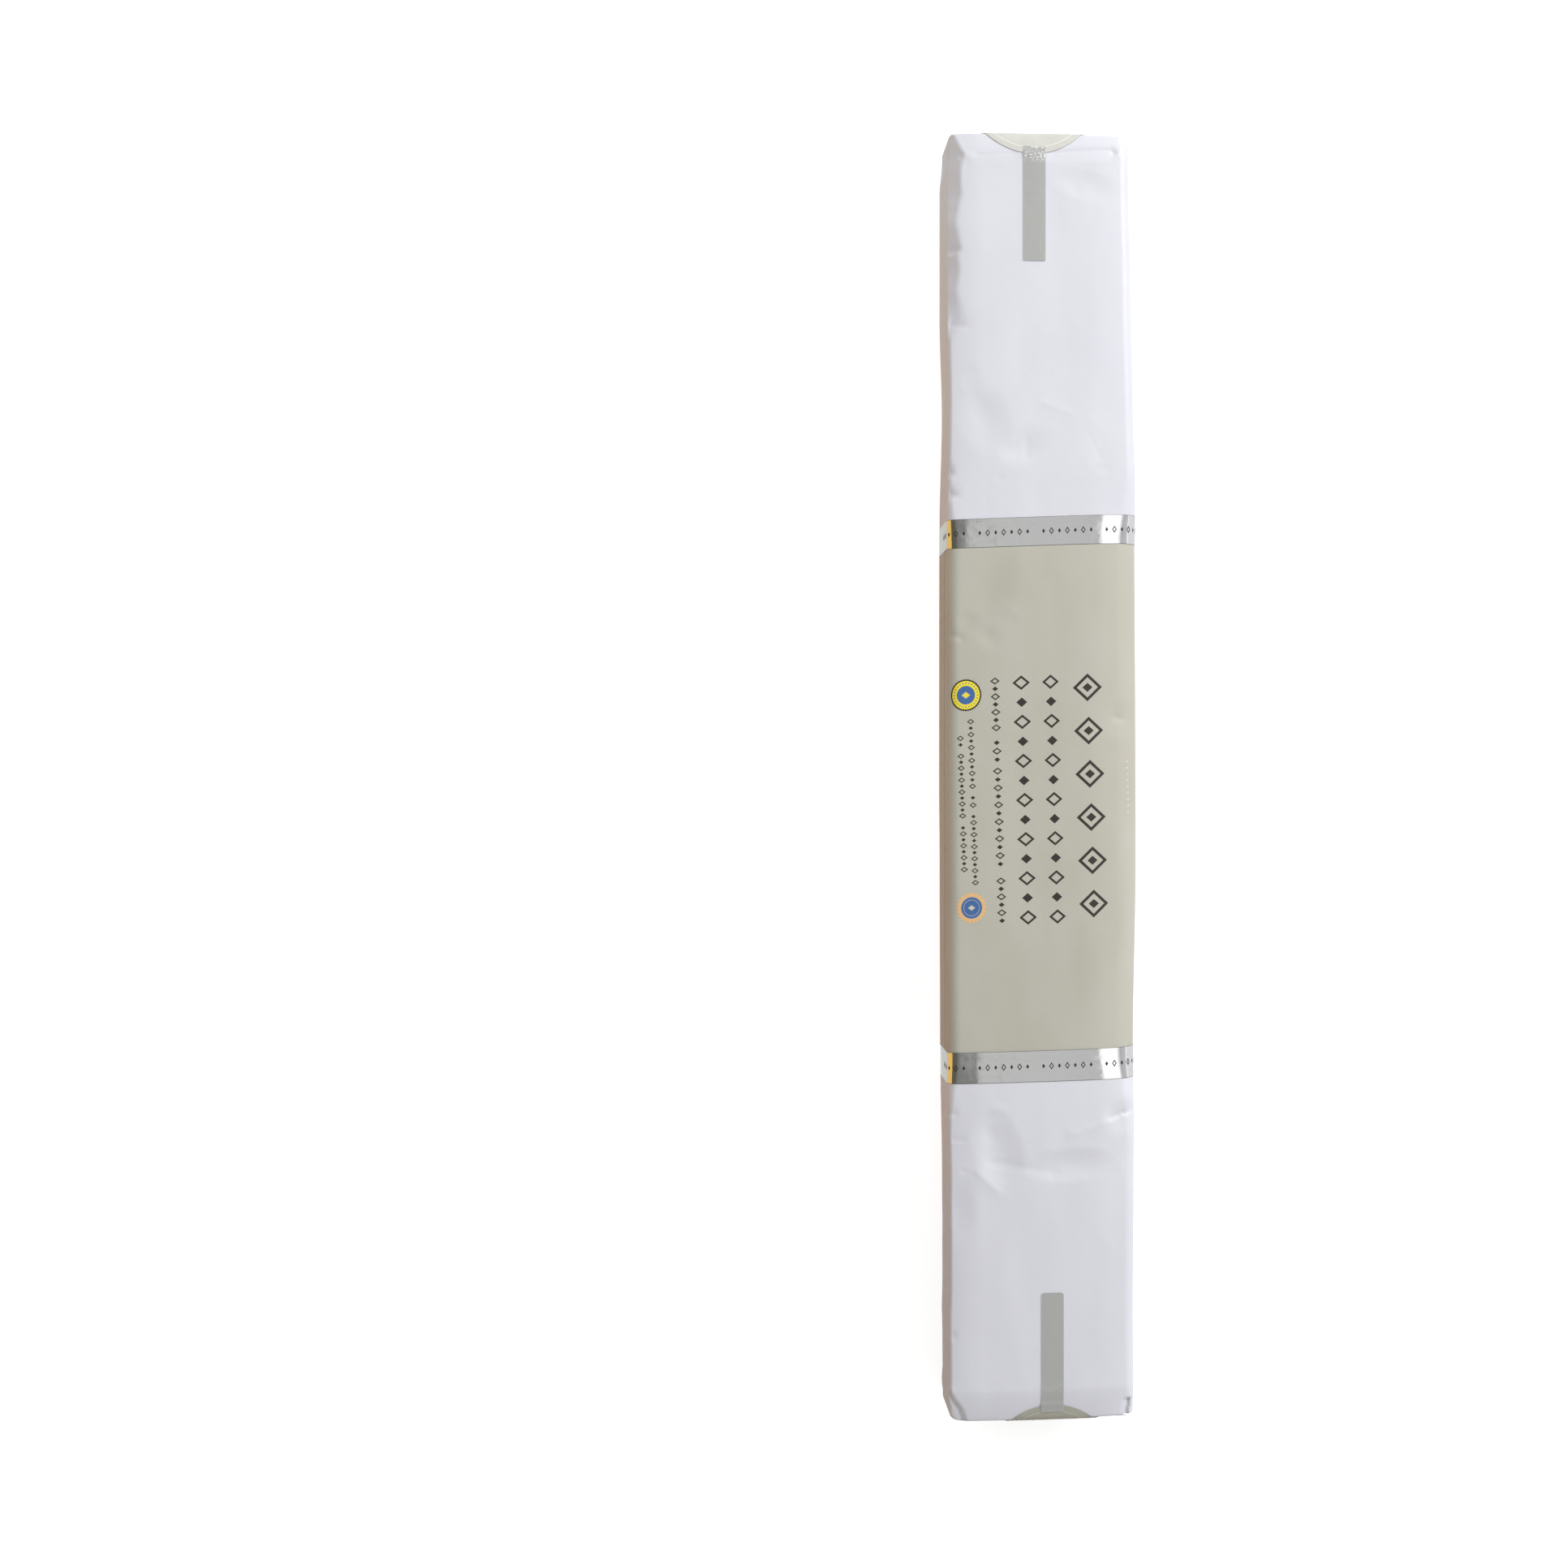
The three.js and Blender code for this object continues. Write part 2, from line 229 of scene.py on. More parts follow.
FOLDS = [
    # The lip of the fold that bounds the crushed corner at the head, left
    Fold(
        [(-38.6, 260.4), (-34.8, 256.3), (-33.4, 253.5), (-32.8, 250.3), (-33.5, 243.0), (-34.6, 234.0)],
        [(-2.2, 0.0), (-0.7, -0.16), (0.0, 0.0), (1.2, 0.0)],
        1.2,
        8.0,
    ),
    # The valley under the fold at the head, right, and its tick by the corner
    Fold(
        [(-1.0, 250.8), (13.0, 251.8), (27.3, 252.6), (30.5, 250.0)],
        [(-6.0, 0.0), (-2.5, -0.15), (-0.8, 0.15), (0.0, 0.55), (1.6, 0.4), (4.6, 0.0)],
        6.0,
        3.0,
    ),
    crease([(-29.0, 250.2), (-9.0, 250.8)], 0.3, 1.4, 3.0, 3.0),
    crease([(31.8, 259.0), (32.3, 254.6)], 0.5, 0.6),
    # Pinches on the left edge towards the head
    pinch([(-38.0, 210.9), (-32.6, 212.2)], 0.45, 7.0),
    pinch([(-38.0, 182.2), (-27.8, 180.0)], 0.4, 7.0, 0.8, 5.0),
    pinch([(-38.0, 122.6), (-34.6, 122.2)], 0.3, 4.0, 0.8, 2.0),
    pinch([(-38.0, 113.8), (-32.4, 112.2)], 0.6, 6.0),
    # The soft side of the dent left of the middle, the ridge to its right and a soft streak below
    crease([(-6.6, 139.0), (-6.9, 126.0)], 0.24, 2.8, 4.0, 4.0),
    crease([(-4.2, 151.8), (15.6, 144.6)], -0.18, 2.4, 5.0, 6.0),
    crease([(16.3, 140.4), (24.5, 126.0)], 0.14, 2.4, 4.0, 4.0),
    # Creases across the foot half
    pinch([(24.0, -139.0), (32.0, -135.8), (37.4, -134.6)], 0.8, 6.0, 5.0, 1.0),
    crease([(30.0, -137.0), (7.2, -145.3)], -0.34, 2.7, 4.0, 6.0),
    crease([(-24.8, -154.4), (8.8, -160.0)], 0.36, 3.4, 5.0, 6.0),
    crease([(-29.3, -156.4), (-15.7, -169.1)], -0.3, 2.6, 4.0, 5.0),
    pinch([(-39.2, -135.6), (-33.9, -136.6)], 0.45, 5.0, 0.8, 2.0),
    pinch([(-37.4, -146.8), (-30.0, -146.4)], 0.3, 4.0, 1.0, 3.0),
    # The tucked corner at the foot, left: a steep facet and a bright one outside it
    Fold(
        [
            (-30.6, -260.4),
            (-31.3, -257.8),
            (-32.9, -253.9),
            (-35.2, -251.0),
            (-37.5, -246.7),
            (-39.2, -242.0),
        ],
        [(-9.0, 0.9), (-2.6, 0.9), (-1.4, 1.7), (-0.2, 0.1), (0.5, -0.12), (2.6, 0.0)],
        0.6,
        5.0,
    ),
    # The small folded corner at the foot, right
    Fold(
        [(35.2, -250.0), (34.9, -253.5), (34.2, -259.0)],
        [(-2.5, 0.3), (-0.7, 0.1), (0.5, 1.9), (3.0, 0.0)],
        1.2,
        0.5,
    ),
    # Pinches in the label
    pinch([(-38.6, 56.8), (-30.8, 54.8)], 0.75, 6.0, 0.8, 4.0),
    pinch([(26.6, 24.2), (33.4, 22.3)], 0.45, 6.0, 2.5, 0.8),
]

# The paper also waves a little over the bundle of strands, in long low ripples and fine crinkles. The last
# value of each picks a layer of the noise.
RIPPLE_DEPTH = 0.12
RIPPLE_ACROSS = 9.0
RIPPLE_ALONG = 46.0
RIPPLE_LAYER = 3.7
CRINKLE_DEPTH = 0.03
CRINKLE_SIZE = 6.0
CRINKLE_LAYER = 9.1

# The long edge at the front, left, is drawn to this radius towards the foot.
FOOT_EDGE_RADIUS = 1.6
FOOT_EDGE_FROM = -215.0
FOOT_EDGE_FULL = -243.0

# The hollows fade down the sides, between these shares of the height.
HOLLOW_FROM = 0.5
HOLLOW_FULL = 0.95


def lerp(start, end, share):
    return start + (end - start) * share


def smoothstep(value, low, high):
    share = min(max((value - low) / (high - low), 0.0), 1.0)
    return share * share * (3.0 - 2.0 * share)


def values_at(table, along):
    """The values of a table at one place along the packet, eased from row to row."""
    index = min(max(bisect.bisect_right([row[0] for row in table], along) - 1, 0), len(table) - 2)
    below, above = table[index], table[index + 1]
    share = smoothstep(along, below[0], above[0])
    return [lerp(low, high, share) for low, high in zip(below[1:], above[1:])]


def girth_at(along):
    """The reach to the left and right at one place along the packet."""
    return values_at(GIRTHS, along)


def slant_at(along):
    """How far along a point is moved by the slant of the folds and bands, for each millimetre across."""
    if along > HEAD_FOIL[1]:
        return lerp(BAND_SLANT, HEAD.slant, smoothstep(along, HEAD_FOIL[1], HEAD.rim_at))
    return lerp(FOOT.slant, BAND_SLANT, smoothstep(along, FOOT.rim_at, FOOT_FOIL[0]))


def bare_at(along):
    """None on the label and the foils, and 1 on the bare paper a little way past them."""
    at_head = smoothstep(along, HEAD_FOIL[0], HEAD_FOIL[1] + BARE_FROM_FOIL)
    return at_head + 1.0 - smoothstep(along, FOOT_FOIL[0] - BARE_FROM_FOIL, FOOT_FOIL[1])


def nearer_end(along):
    """The nearer end of the packet, and the distance to its rim."""
    end = HEAD if along > 0 else FOOT
    return end, max((end.rim_at - along) * end.toward, 0.0)


def round_off(from_end, radius):
    """How far a rounded edge falls short of a sharp one, at a distance from its end."""
    if from_end >= radius:
        return 0.0
    return radius - math.sqrt(radius * radius - (radius - from_end) ** 2)


def slope_share(along):
    """The share of the way down the slope at an end, were it straight."""
    end, from_rim = nearer_end(along)
    return max(1.0 - from_rim / end.slope_length, 0.0)


def slope_in(along):
    """How far the front and the back come in on the slope at an end and at its rounded rim."""
    _, from_rim = nearer_end(along)
    return SLOPE_DROP * slope_share(along) ** SLOPE_CURVE + round_off(from_rim, RIM_ROUNDING)


def profile_depth(profile, distance):
    """The depth that a fold's profile gives at a distance from its line."""
    if distance <= profile[0][0]:
        return profile[0][1]
    for (low, low_depth), (high, high_depth) in zip(profile, profile[1:]):
        if distance <= high:
            return lerp(low_depth, high_depth, (distance - low) / (high - low))
    return profile[-1][1]


def fold_box(fold):
    """The stretch of paper that a fold touches."""
    reach = max(abs(fold.profile[0][0]), abs(fold.profile[-1][0]))
    xs = [x for x, _ in fold.line]
    ys = [y for _, y in fold.line]
    return min(xs) - reach, max(xs) + reach, min(ys) - reach, max(ys) + reach


def fold_legs(fold):
    """The straight legs of a fold: start, way, length and the length run before it."""
    legs = []
    run = 0.0
    for (x0, y0), (x1, y1) in zip(fold.line, fold.line[1:]):
        length = math.hypot(x1 - x0, y1 - y0)
        legs.append((x0, y0, (x1 - x0) / length, (y1 - y0) / length, length, run))
        run += length
    return legs, run


def lay_dent(x, y, half_x, half_y, turn, depth):
    """A dent with the cosine and sine of its turn, and how far it reaches at most."""
    angle = math.radians(turn)
    return x, y, half_x, half_y, math.cos(angle), math.sin(angle), depth, max(half_x, half_y)


LAID_FOLDS = [(fold, fold_box(fold), *fold_legs(fold)) for fold in FOLDS]
LAID_DENTS = [lay_dent(*dent) for dent in HOLLOWS + DENTS]


def fold_depth(fold, legs, total, x, y):
    """The depth of a fold at a place in plan, by the distance to its nearest leg."""
    nearest = None
    for x0, y0, way_x, way_y, length, before in legs:
        dx, dy = x - x0, y - y0
        run = min(max(dx * way_x + dy * way_y, 0.0), length)
        off_x, off_y = dx - run * way_x, dy - run * way_y
        distance = math.hypot(off_x, off_y)
        if nearest is None or distance < nearest[0]:
            to_right = off_x * way_y - off_y * way_x
            nearest = (distance, math.copysign(distance, to_right), before + run)
    _, distance, run = nearest
    fade = smoothstep(run, 0.0, fold.fade_in) * smoothstep(total - run, 0.0, fold.fade_out)
    return profile_depth(fold.profile, distance) * fade if fade else 0.0


def relief(x, y):
    """How deep the front of the paper lies below its plain form, at a place in plan."""
    depth = 0.0
    for cx, cy, half_x, half_y, cosine, sine, dent, reach in LAID_DENTS:
        dx, dy = x - cx, y - cy
        if abs(dx) < reach and abs(dy) < reach:
            u = (dx * cosine + dy * sine) / half_x
            v = (dy * cosine - dx * sine) / half_y
            left = 1.0 - u * u - v * v
            if left > 0.0:
                depth += dent * left * left
    for fold, (left, right, low, high), legs, total in LAID_FOLDS:
        if left < x < right and low < y < high:
            depth += fold_depth(fold, legs, total, x, y)
    start, width, covered_drop, bare_drop = LEFT_SHOULDER if x < 0 else RIGHT_SHOULDER
    past_shoulder = max(abs(x) - start, 0.0) / width
    depth += lerp(covered_drop, bare_drop, bare_at(y)) * past_shoulder * past_shoulder
    depth += RIPPLE_DEPTH * noise.noise(Vector((x / RIPPLE_ACROSS, y / RIPPLE_ALONG, RIPPLE_LAYER)))
    depth += CRINKLE_DEPTH * noise.noise(Vector((x / CRINKLE_SIZE, y / CRINKLE_SIZE, CRINKLE_LAYER)))
    return depth


# A place round the section: a wall or a long edge, and the share of the way along it
Station = namedtuple("Station", "side share")


def edge_radius(edge, along):
    """The radius of a long edge at one place along the packet."""
    radius = EDGE_RADIUS[edge]
    if edge in BARE_RADIUS:
        radius = lerp(radius, BARE_RADIUS[edge], bare_at(along))
    if edge == "front_left":
        radius = lerp(radius, FOOT_EDGE_RADIUS, smoothstep(-along, -FOOT_EDGE_FROM, -FOOT_EDGE_FULL))
    return radius


def walls_at(along, inset, under_inset):
    """Where the left and right walls, the front and the back lie at one place along the packet."""
    left, right = girth_at(along)
    end, from_rim = nearer_end(along)
    slope = slope_in(along)
    return (
        left + inset + round_off(from_rim, end.left_corner),
        right - inset - round_off(from_rim, end.right_corner),
        FRONT_HEIGHT - CROWN - inset - slope,
        under_inset + slope,
    )


def section_point(station, along, walls, inset):
    """A point of the section at a station, before the sides lean."""
    left, right, top, bottom = walls
    side, share = station
    if side in EDGES_OF:
        start, end = (edge_radius(edge, along) - inset for edge in EDGES_OF[side])
        if side == "front":
            return lerp(left + start, right - end, share), top + CROWN * (1.0 - (2.0 * share - 1.0) ** 2)
        if side == "right":
            return right, lerp(top - start, bottom + end, share)
        if side == "back":
            return lerp(right - start, left + end, share), bottom
        return left, lerp(bottom + start, top - end, share)
    radius = edge_radius(side, along) - inset
    out = radius * math.sin(share * math.pi / 2)
    up = radius * math.cos(share * math.pi / 2)
    if side == "front_right":
        return right - radius + out, top - radius + up
    if side == "back_right":
        return right - radius + up, bottom + radius - out
    if side == "back_left":
        return left + radius - out, bottom + radius - up
    return left + radius - up, top - radius + out


def crush(x, along, height, inset):
    """Brings a point of the left wall back onto the crushed facet towards the head."""
    fold_at, low = values_at(LEFT_CRUSH, along)
    start = Vector((fold_at + inset, CRUSH_FOLD_HEIGHT - inset - slope_in(along)))
    way = (Vector((CRUSH_SIDE + inset, low)) - start).normalized()
    out = Vector((way.y, -way.x))
    beyond = (Vector((x, height)) - start).dot(out)
    if abs(beyond) < CRUSH_SOFTNESS:
        beyond = (beyond + CRUSH_SOFTNESS) ** 2 / (4.0 * CRUSH_SOFTNESS)
    beyond = max(beyond, 0.0)
    return x - out.x * beyond, height - out.y * beyond


def left_wall(x, along, height, inset):
    """The bulge of the left wall towards the ends, and its crushed edge towards the head."""
    (out,) = values_at(LEFT_BULGE, along)
    x -= out * smoothstep(height, *BULGE_HEIGHTS) * smoothstep(-x, *BULGE_ACROSS)
    if along > LEFT_CRUSH[0][0]:
        return crush(x, along, height, inset)
    return x, height


def skin_point(station, along, inset, under_inset):
    """A point of the packet's skin in millimetres: the section leaned, hollowed and slanted."""
    walls = walls_at(along, inset, under_inset)
    across, height = section_point(station, along, walls, inset)
    reach = -walls[0] if across < 0 else walls[1]
    x = across - across / reach * LEAN * height
    if across < 0:
        x, height = left_wall(x, along, height, inset)
    y = along + slant_at(along) * x
    toward_front = smoothstep(height / FRONT_HEIGHT, HOLLOW_FROM, HOLLOW_FULL)
    if toward_front:
        height -= relief(x, y) * toward_front
    return Vector((x, y, height))


def stations_round(steps, edge_steps, start_share=0.0, overlap=0.0):
    """The stations from the left wall up over the front and round to the left wall again.

    Both ends are on the left wall, at start_share of its height, and overlap is the share by which the
    last one goes past the first.
    """
    stations = []
    order = ["left", "front_left", "front", "front_right", "right", "back_right", "back", "back_left"]
    for side in order:
        count = steps[side] if side in EDGES_OF else edge_steps
        first = start_share if side == "left" else 0.0
        stations += [Station(side, lerp(first, 1.0, step / count)) for step in range(count)]
    count = max(round(steps["left"] * (start_share + overlap)), 1)
    stop = start_share + overlap
    stations += [Station("left", stop * step / count) for step in range(count + 1)]
    return stations


def rows_between(marks):
    """Rows along the packet. Each mark after the first gives a place and the spacing up to it."""
    rows = [marks[0]]
    for place, spacing in marks[1:]:
        count = max(math.ceil(abs(place - rows[-1]) / spacing), 1)
        start = rows[-1]
        rows += [lerp(start, place, step / count) for step in range(1, count + 1)]
    return rows


# ---- Making and finishing pieces ----


def grid_sheet(columns, rows, place):
    """A sheet of paper: a flat grid laid by place(column, row), with a UV map from 0 to 1 both ways."""
    sheet = bmesh.new()
    bmesh.ops.create_grid(sheet, x_segments=columns - 1, y_segments=rows - 1, size=1.0)
    unwrap = sheet.loops.layers.uv.new("sheet")
    for face in sheet.faces:
        for loop in face.loops:
            loop[unwrap].uv = ((loop.vert.co.x + 1.0) / 2, (loop.vert.co.y + 1.0) / 2)
    for vert in sheet.verts:
        column = round((vert.co.x + 1.0) / 2 * (columns - 1))
        row = round((vert.co.y + 1.0) / 2 * (rows - 1))
        vert.co = place(column, row) * MM
    return sheet


SEAM_REACH = 0.002
SHARP_ANGLE = math.radians(50.0)
CORE_SHARE = 0.8


def close_seam(sheet):
    """Joins the first and the last column of a sheet that goes once round."""
    bmesh.ops.remove_doubles(sheet, verts=sheet.verts, dist=SEAM_REACH * MM)


def extrude_rim(mesh, rim):
    """Extrudes an open rim, and gives back the new verts and the new rim's edges."""
    made = bmesh.ops.extrude_edge_only(mesh, edges=rim)["geom"]
    verts = [part for part in made if isinstance(part, bmesh.types.BMVert)]
    edges = [part for part in made if isinstance(part, bmesh.types.BMEdge) and part.is_boundary]
    return verts, edges


def put_in_scene(name, mesh, finish):
    """An object at the origin from a bmesh, in one finish."""
    data = bpy.data.meshes.new(name)
    mesh.to_mesh(data)
    mesh.free()
    data.materials.append(finish)
    piece = bpy.data.objects.new(name, data)
    bpy.context.scene.collection.objects.link(piece)
    return piece


def shade(data):
    """Smooth shading, but for edges as sharp as the rim of a sheet."""
    for face in data.polygons:
        face.use_smooth = True
    data.set_sharp_from_angle(angle=SHARP_ANGLE)


def take_place(piece, nodes):
    """Puts a piece on the packet's body, and in place of the CAD nodes that it stands for."""
    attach(piece, "root")
    for node in nodes:
        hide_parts(node)
    return piece


def finish_piece(name, mesh, finish, nodes=()):
    """Turns a closed bmesh into a finished piece."""
    bmesh.ops.recalc_face_normals(mesh, faces=mesh.faces)
    piece = put_in_scene(name, mesh, finish)
    shade(piece.data)
    return take_place(piece, nodes)


def face_outwards(sheet):
    """Turns an open sheet so that its faces look away from the packet's core, a line short of both ends."""
    sheet.normal_update()
    total = 0.0
    for face in sheet.faces:
        centre = face.calc_center_median()
        out = centre - Vector((0.0, CORE_SHARE * centre.y, FRONT_HEIGHT / 2 * MM))
        total += face.normal.dot(out) * face.calc_area()
    if total < 0:
        bmesh.ops.reverse_faces(sheet, faces=sheet.faces)


def finish_sheet(name, sheet, finish, nodes, thickness):
    """Finishes an open sheet: its faces look out, and its thickness goes inwards."""
    face_outwards(sheet)
    piece = put_in_scene(name, sheet, finish)
    wall = piece.modifiers.new("wall", "SOLIDIFY")
    wall.thickness = thickness * MM
    wall.offset = -1.0
    thick = piece.evaluated_get(bpy.context.evaluated_depsgraph_get())
    piece.data = bpy.data.meshes.new_from_object(thick)
    piece.modifiers.clear()
    shade(piece.data)
    return take_place(piece, nodes)


# ---- Finishes ----


class Finish:
    """A procedural material: one principled shader and the nodes that feed it."""

    def __init__(self, name, **sockets):
        self.material = bpy.data.materials.new(name)
        self.material.use_nodes = True
        self.tree = self.material.node_tree
        self.shader = self.tree.nodes["Principled BSDF"]
        for socket, value in sockets.items():
            title = socket.replace("_", " ").title().replace("Ior", "IOR")
            self.shader.inputs[title].default_value = value
        self.places = self.tree.nodes.new("ShaderNodeTexCoord")

    def node(self, kind, inputs=None, **settings):
        made = self.tree.nodes.new(kind)
        for key, value in settings.items():
            setattr(made, key, value)
        for socket, value in (inputs or {}).items():
            if isinstance(value, bpy.types.NodeSocket):
                self.tree.links.new(value, made.inputs[socket])
            else:
                made.inputs[socket].default_value = value
        return made

    def noise(self, size, detail=3.0, stretch=(1.0, 1.0, 1.0), contrast=0.5):
        """A noise in object coordinates with lumps of about size millimetres."""
        scale = [1.0 / (size * MM * part) for part in stretch]
        scaled = self.node("ShaderNodeMapping", {"Vector": self.places.outputs["Object"], "Scale": scale})
        made = self.node(
            "ShaderNodeTexNoise",
            {"Vector": scaled.outputs["Vector"], "Scale": 1.0, "Detail": detail, "Roughness": contrast},
        )
        return made.outputs["Fac"]

    def math(self, operation, first, second=0.0):
        return self.node("ShaderNodeMath", {0: first, 1: second}, operation=operation).outputs[0]

    def between(self, value, low, high, start=0.0, end=1.0):
        """Maps a value from one range to another, with soft ends."""
        made = self.node(
            "ShaderNodeMapRange",
            {"Value": value, "From Min": low, "From Max": high, "To Min": start, "To Max": end},
            interpolation_type="SMOOTHSTEP",
        )
        return made.outputs["Result"]

    def blend(self, share, first, second):
        """A colour between two others."""
        made = self.node("ShaderNodeMix", data_type="RGBA")
        for index, value in ((0, share), (6, first), (7, second)):
            if isinstance(value, bpy.types.NodeSocket):
                self.tree.links.new(value, made.inputs[index])
            elif index:
                made.inputs[index].default_value = (*value, 1.0)
            else:
                made.inputs[index].default_value = value
        return made.outputs[2]

    def attribute(self, name):
        return self.node("ShaderNodeAttribute", attribute_name=name).outputs["Fac"]

    def sheet_place(self):
        """The two directions of the sheet's own UV map."""
        unwrapped = self.node("ShaderNodeUVMap", uv_map="sheet").outputs[0]
        made = self.node("ShaderNodeSeparateXYZ", {"Vector": unwrapped})
        return made.outputs["X"], made.outputs["Y"]

    def colour(self, value):
        self.tree.links.new(value, self.shader.inputs["Base Color"])

    def roughness(self, value):
        self.tree.links.new(value, self.shader.inputs["Roughness"])

    def metallic(self, value):
        self.tree.links.new(value, self.shader.inputs["Metallic"])

    def bumps(self, *layers):
        """Bump layers, each a height and its depth in millimetres."""
        normal = None
        for height, depth in layers:
            inputs = {"Height": height, "Strength": 1.0, "Distance": depth * MM}
            if normal:
                inputs["Normal"] = normal
            normal = self.node("ShaderNodeBump", inputs).outputs["Normal"]
        self.tree.links.new(normal, self.shader.inputs["Normal"])


def white_wrapping_paper():
    """White paper: cool, faintly cloudy, with long fibres and a soft crinkle."""
    finish = Finish("white_wrapping_paper", roughness=0.42, specular_ior_level=0.45)
    cloud = finish.noise(26.0, 2.0, (1.0, 2.4, 1.0))
    fibre = finish.noise(0.45, 4.0, (1.0, 3.0, 1.0), 0.6)
    tone = finish.blend(finish.between(cloud, 0.3, 0.7), (0.585, 0.585, 0.635), (0.615, 0.62, 0.662))
    tone = finish.blend(finish.math("MULTIPLY", fibre, 0.16), tone, (0.50, 0.50, 0.55))
    finish.colour(tone)
    finish.roughness(finish.between(finish.noise(3.5, 4.0), 0.25, 0.75, 0.36, 0.50))
    finish.bumps((fibre, 0.012), (finish.noise(4.0, 5.0), 0.06))
    return finish.material


def label_paper():
    """Warm stone-coloured paper, with longer fibres than the white."""
    finish = Finish("stone_label_paper", roughness=0.5, specular_ior_level=0.4)
    cloud = finish.noise(22.0, 2.0, (1.0, 2.0, 1.0))
    fibre = finish.noise(0.4, 4.0, (1.0, 2.4, 1.0), 0.6)
    tone = finish.blend(finish.between(cloud, 0.3, 0.7), (0.415, 0.402, 0.343), (0.442, 0.432, 0.375))
    tone = finish.blend(finish.math("MULTIPLY", fibre, 0.22), tone, (0.31, 0.29, 0.235))
    finish.colour(tone)
    finish.roughness(finish.between(finish.noise(3.0, 4.0), 0.25, 0.75, 0.42, 0.56))
    finish.bumps((fibre, 0.012), (finish.noise(4.0, 5.0), 0.05))
    return finish.material


def silver_foil():
    """Mirror-like foil: a painted shade line along both edges, fine scratches along the band and a soft
    waviness.
    """
    finish = Finish("silver_foil", metallic=1.0, roughness=0.12)
    _, up = finish.sheet_place()
    to_edge = finish.math("MINIMUM", up, finish.math("SUBTRACT", 1.0, up))
    edge = finish.between(to_edge, 0.008, 0.016)
    scratch = finish.noise(1.2, 5.0, (9.0, 0.5, 4.0), 0.7)
    bright = finish.blend(finish.between(scratch, 0.55, 0.75), (0.80, 0.80, 0.805), (0.68, 0.68, 0.69))
    # The dark tone along both edges is painted shade: the thin shadow line where the band's edge lies over
    # the paper.
    finish.colour(finish.blend(edge, (0.30, 0.30, 0.29), bright))
    finish.roughness(finish.between(finish.noise(2.6, 5.0), 0.3, 0.8, 0.07, 0.2))
    finish.bumps((finish.noise(5.5, 2.0, (1.0, 1.6, 1.0)), 0.05), (finish.noise(0.8, 4.0), 0.004))
    return finish.material


RING_LIGHTER = 1.25


def seal_disc_paper(name, light, dark):
    """The disc's paper, with a raised lighter ring line near its edge."""
    finish = Finish(name, roughness=0.55, specular_ior_level=0.35)
    across, up = finish.sheet_place()
    from_middle = finish.math("SUBTRACT", across, 0.5)
    above_middle = finish.math("SUBTRACT", up, 0.5)
    squares = finish.math(
        "ADD",
        finish.math("MULTIPLY", from_middle, from_middle),
        finish.math("MULTIPLY", above_middle, above_middle),
    )
    radius = finish.math("SQRT", squares)
    from_ring = finish.math("ABSOLUTE", finish.math("SUBTRACT", radius, 0.5 * RING_RADIUS / DISC_RADIUS))
    ring = finish.between(from_ring, 0.0025, 0.0045)
    cloud = finish.noise(9.0, 3.0)
    fibre = finish.noise(0.4, 4.0, contrast=0.6)
    tone = finish.blend(finish.between(cloud, 0.3, 0.7), dark, light)
    finish.colour(finish.blend(ring, tuple(RING_LIGHTER * part for part in light), tone))
    finish.roughness(finish.between(finish.noise(2.0, 4.0), 0.25, 0.75, 0.45, 0.6))
    finish.bumps((fibre, 0.012), (ring, 0.03))
    return finish.material


def silver_strip():
    """Matt grey silver paper: light cut edges, with flakes worn off where it bends over the disc."""
    finish = Finish("silver_strip", roughness=0.4, metallic=0.3)
    across, _ = finish.sheet_place()
    to_edge = finish.math("MINIMUM", across, finish.math("SUBTRACT", 1.0, across))
    edge = finish.between(to_edge, 0.004, 0.012)
    grain = finish.noise(0.5, 4.0, (1.0, 5.0, 1.0), 0.6)
    tone = finish.blend(finish.math("MULTIPLY", grain, 0.35), (0.415, 0.42, 0.405), (0.34, 0.345, 0.335))
    flaked = finish.between(finish.noise(0.9, 5.0), 0.47, 0.60)
    flakes = finish.math("MULTIPLY", finish.attribute("wear"), flaked)
    scuffs = finish.between(finish.noise(2.4, 5.0, (0.6, 1.6, 1.0), 0.65), 0.69, 0.76, 0.0, 0.35)
    worn = finish.math("MAXIMUM", flakes, scuffs)
    tone = finish.blend(worn, tone, (0.70, 0.70, 0.69))
    finish.colour(finish.blend(edge, (0.66, 0.66, 0.68), tone))
    finish.metallic(finish.between(worn, 0.0, 0.6, 0.3, 0.0))
    finish.roughness(finish.between(finish.noise(1.6, 4.0), 0.25, 0.75, 0.32, 0.48))
    finish.bumps((grain, 0.01), (worn, -0.02), (finish.noise(3.0, 3.0), 0.03))
    return finish.material


INKS = {
    "dark": (0.022, 0.020, 0.015),
    "yellow": (0.72, 0.60, 0.03),
    "blue": (0.045, 0.115, 0.30),
    "orange": (0.68, 0.40, 0.16),
    "silver": (0.50, 0.50, 0.46),
}
INK_GLOSS = 0.45


def print_ink(name):
    """Ink on paper: even, with a faint grain where it lies thin."""
    tone, gloss = INKS[name], INK_GLOSS
    finish = Finish(f"ink_{name}", roughness=gloss, specular_ior_level=0.4)
    grain = finish.noise(0.5, 4.0, contrast=0.65)
    thin = tuple(part + 0.03 for part in tone)
    finish.colour(finish.blend(finish.between(grain, 0.45, 0.8), tone, thin))
    finish.roughness(finish.between(grain, 0.3, 0.7, gloss - 0.05, gloss + 0.08))
    finish.bumps((grain, 0.006))
    return finish.material


# ---- The wrapping paper ----

WRAPPER_STEPS = {"left": 18, "front": 92, "right": 14, "back": 26}
WRAPPER_EDGE_STEPS = 11

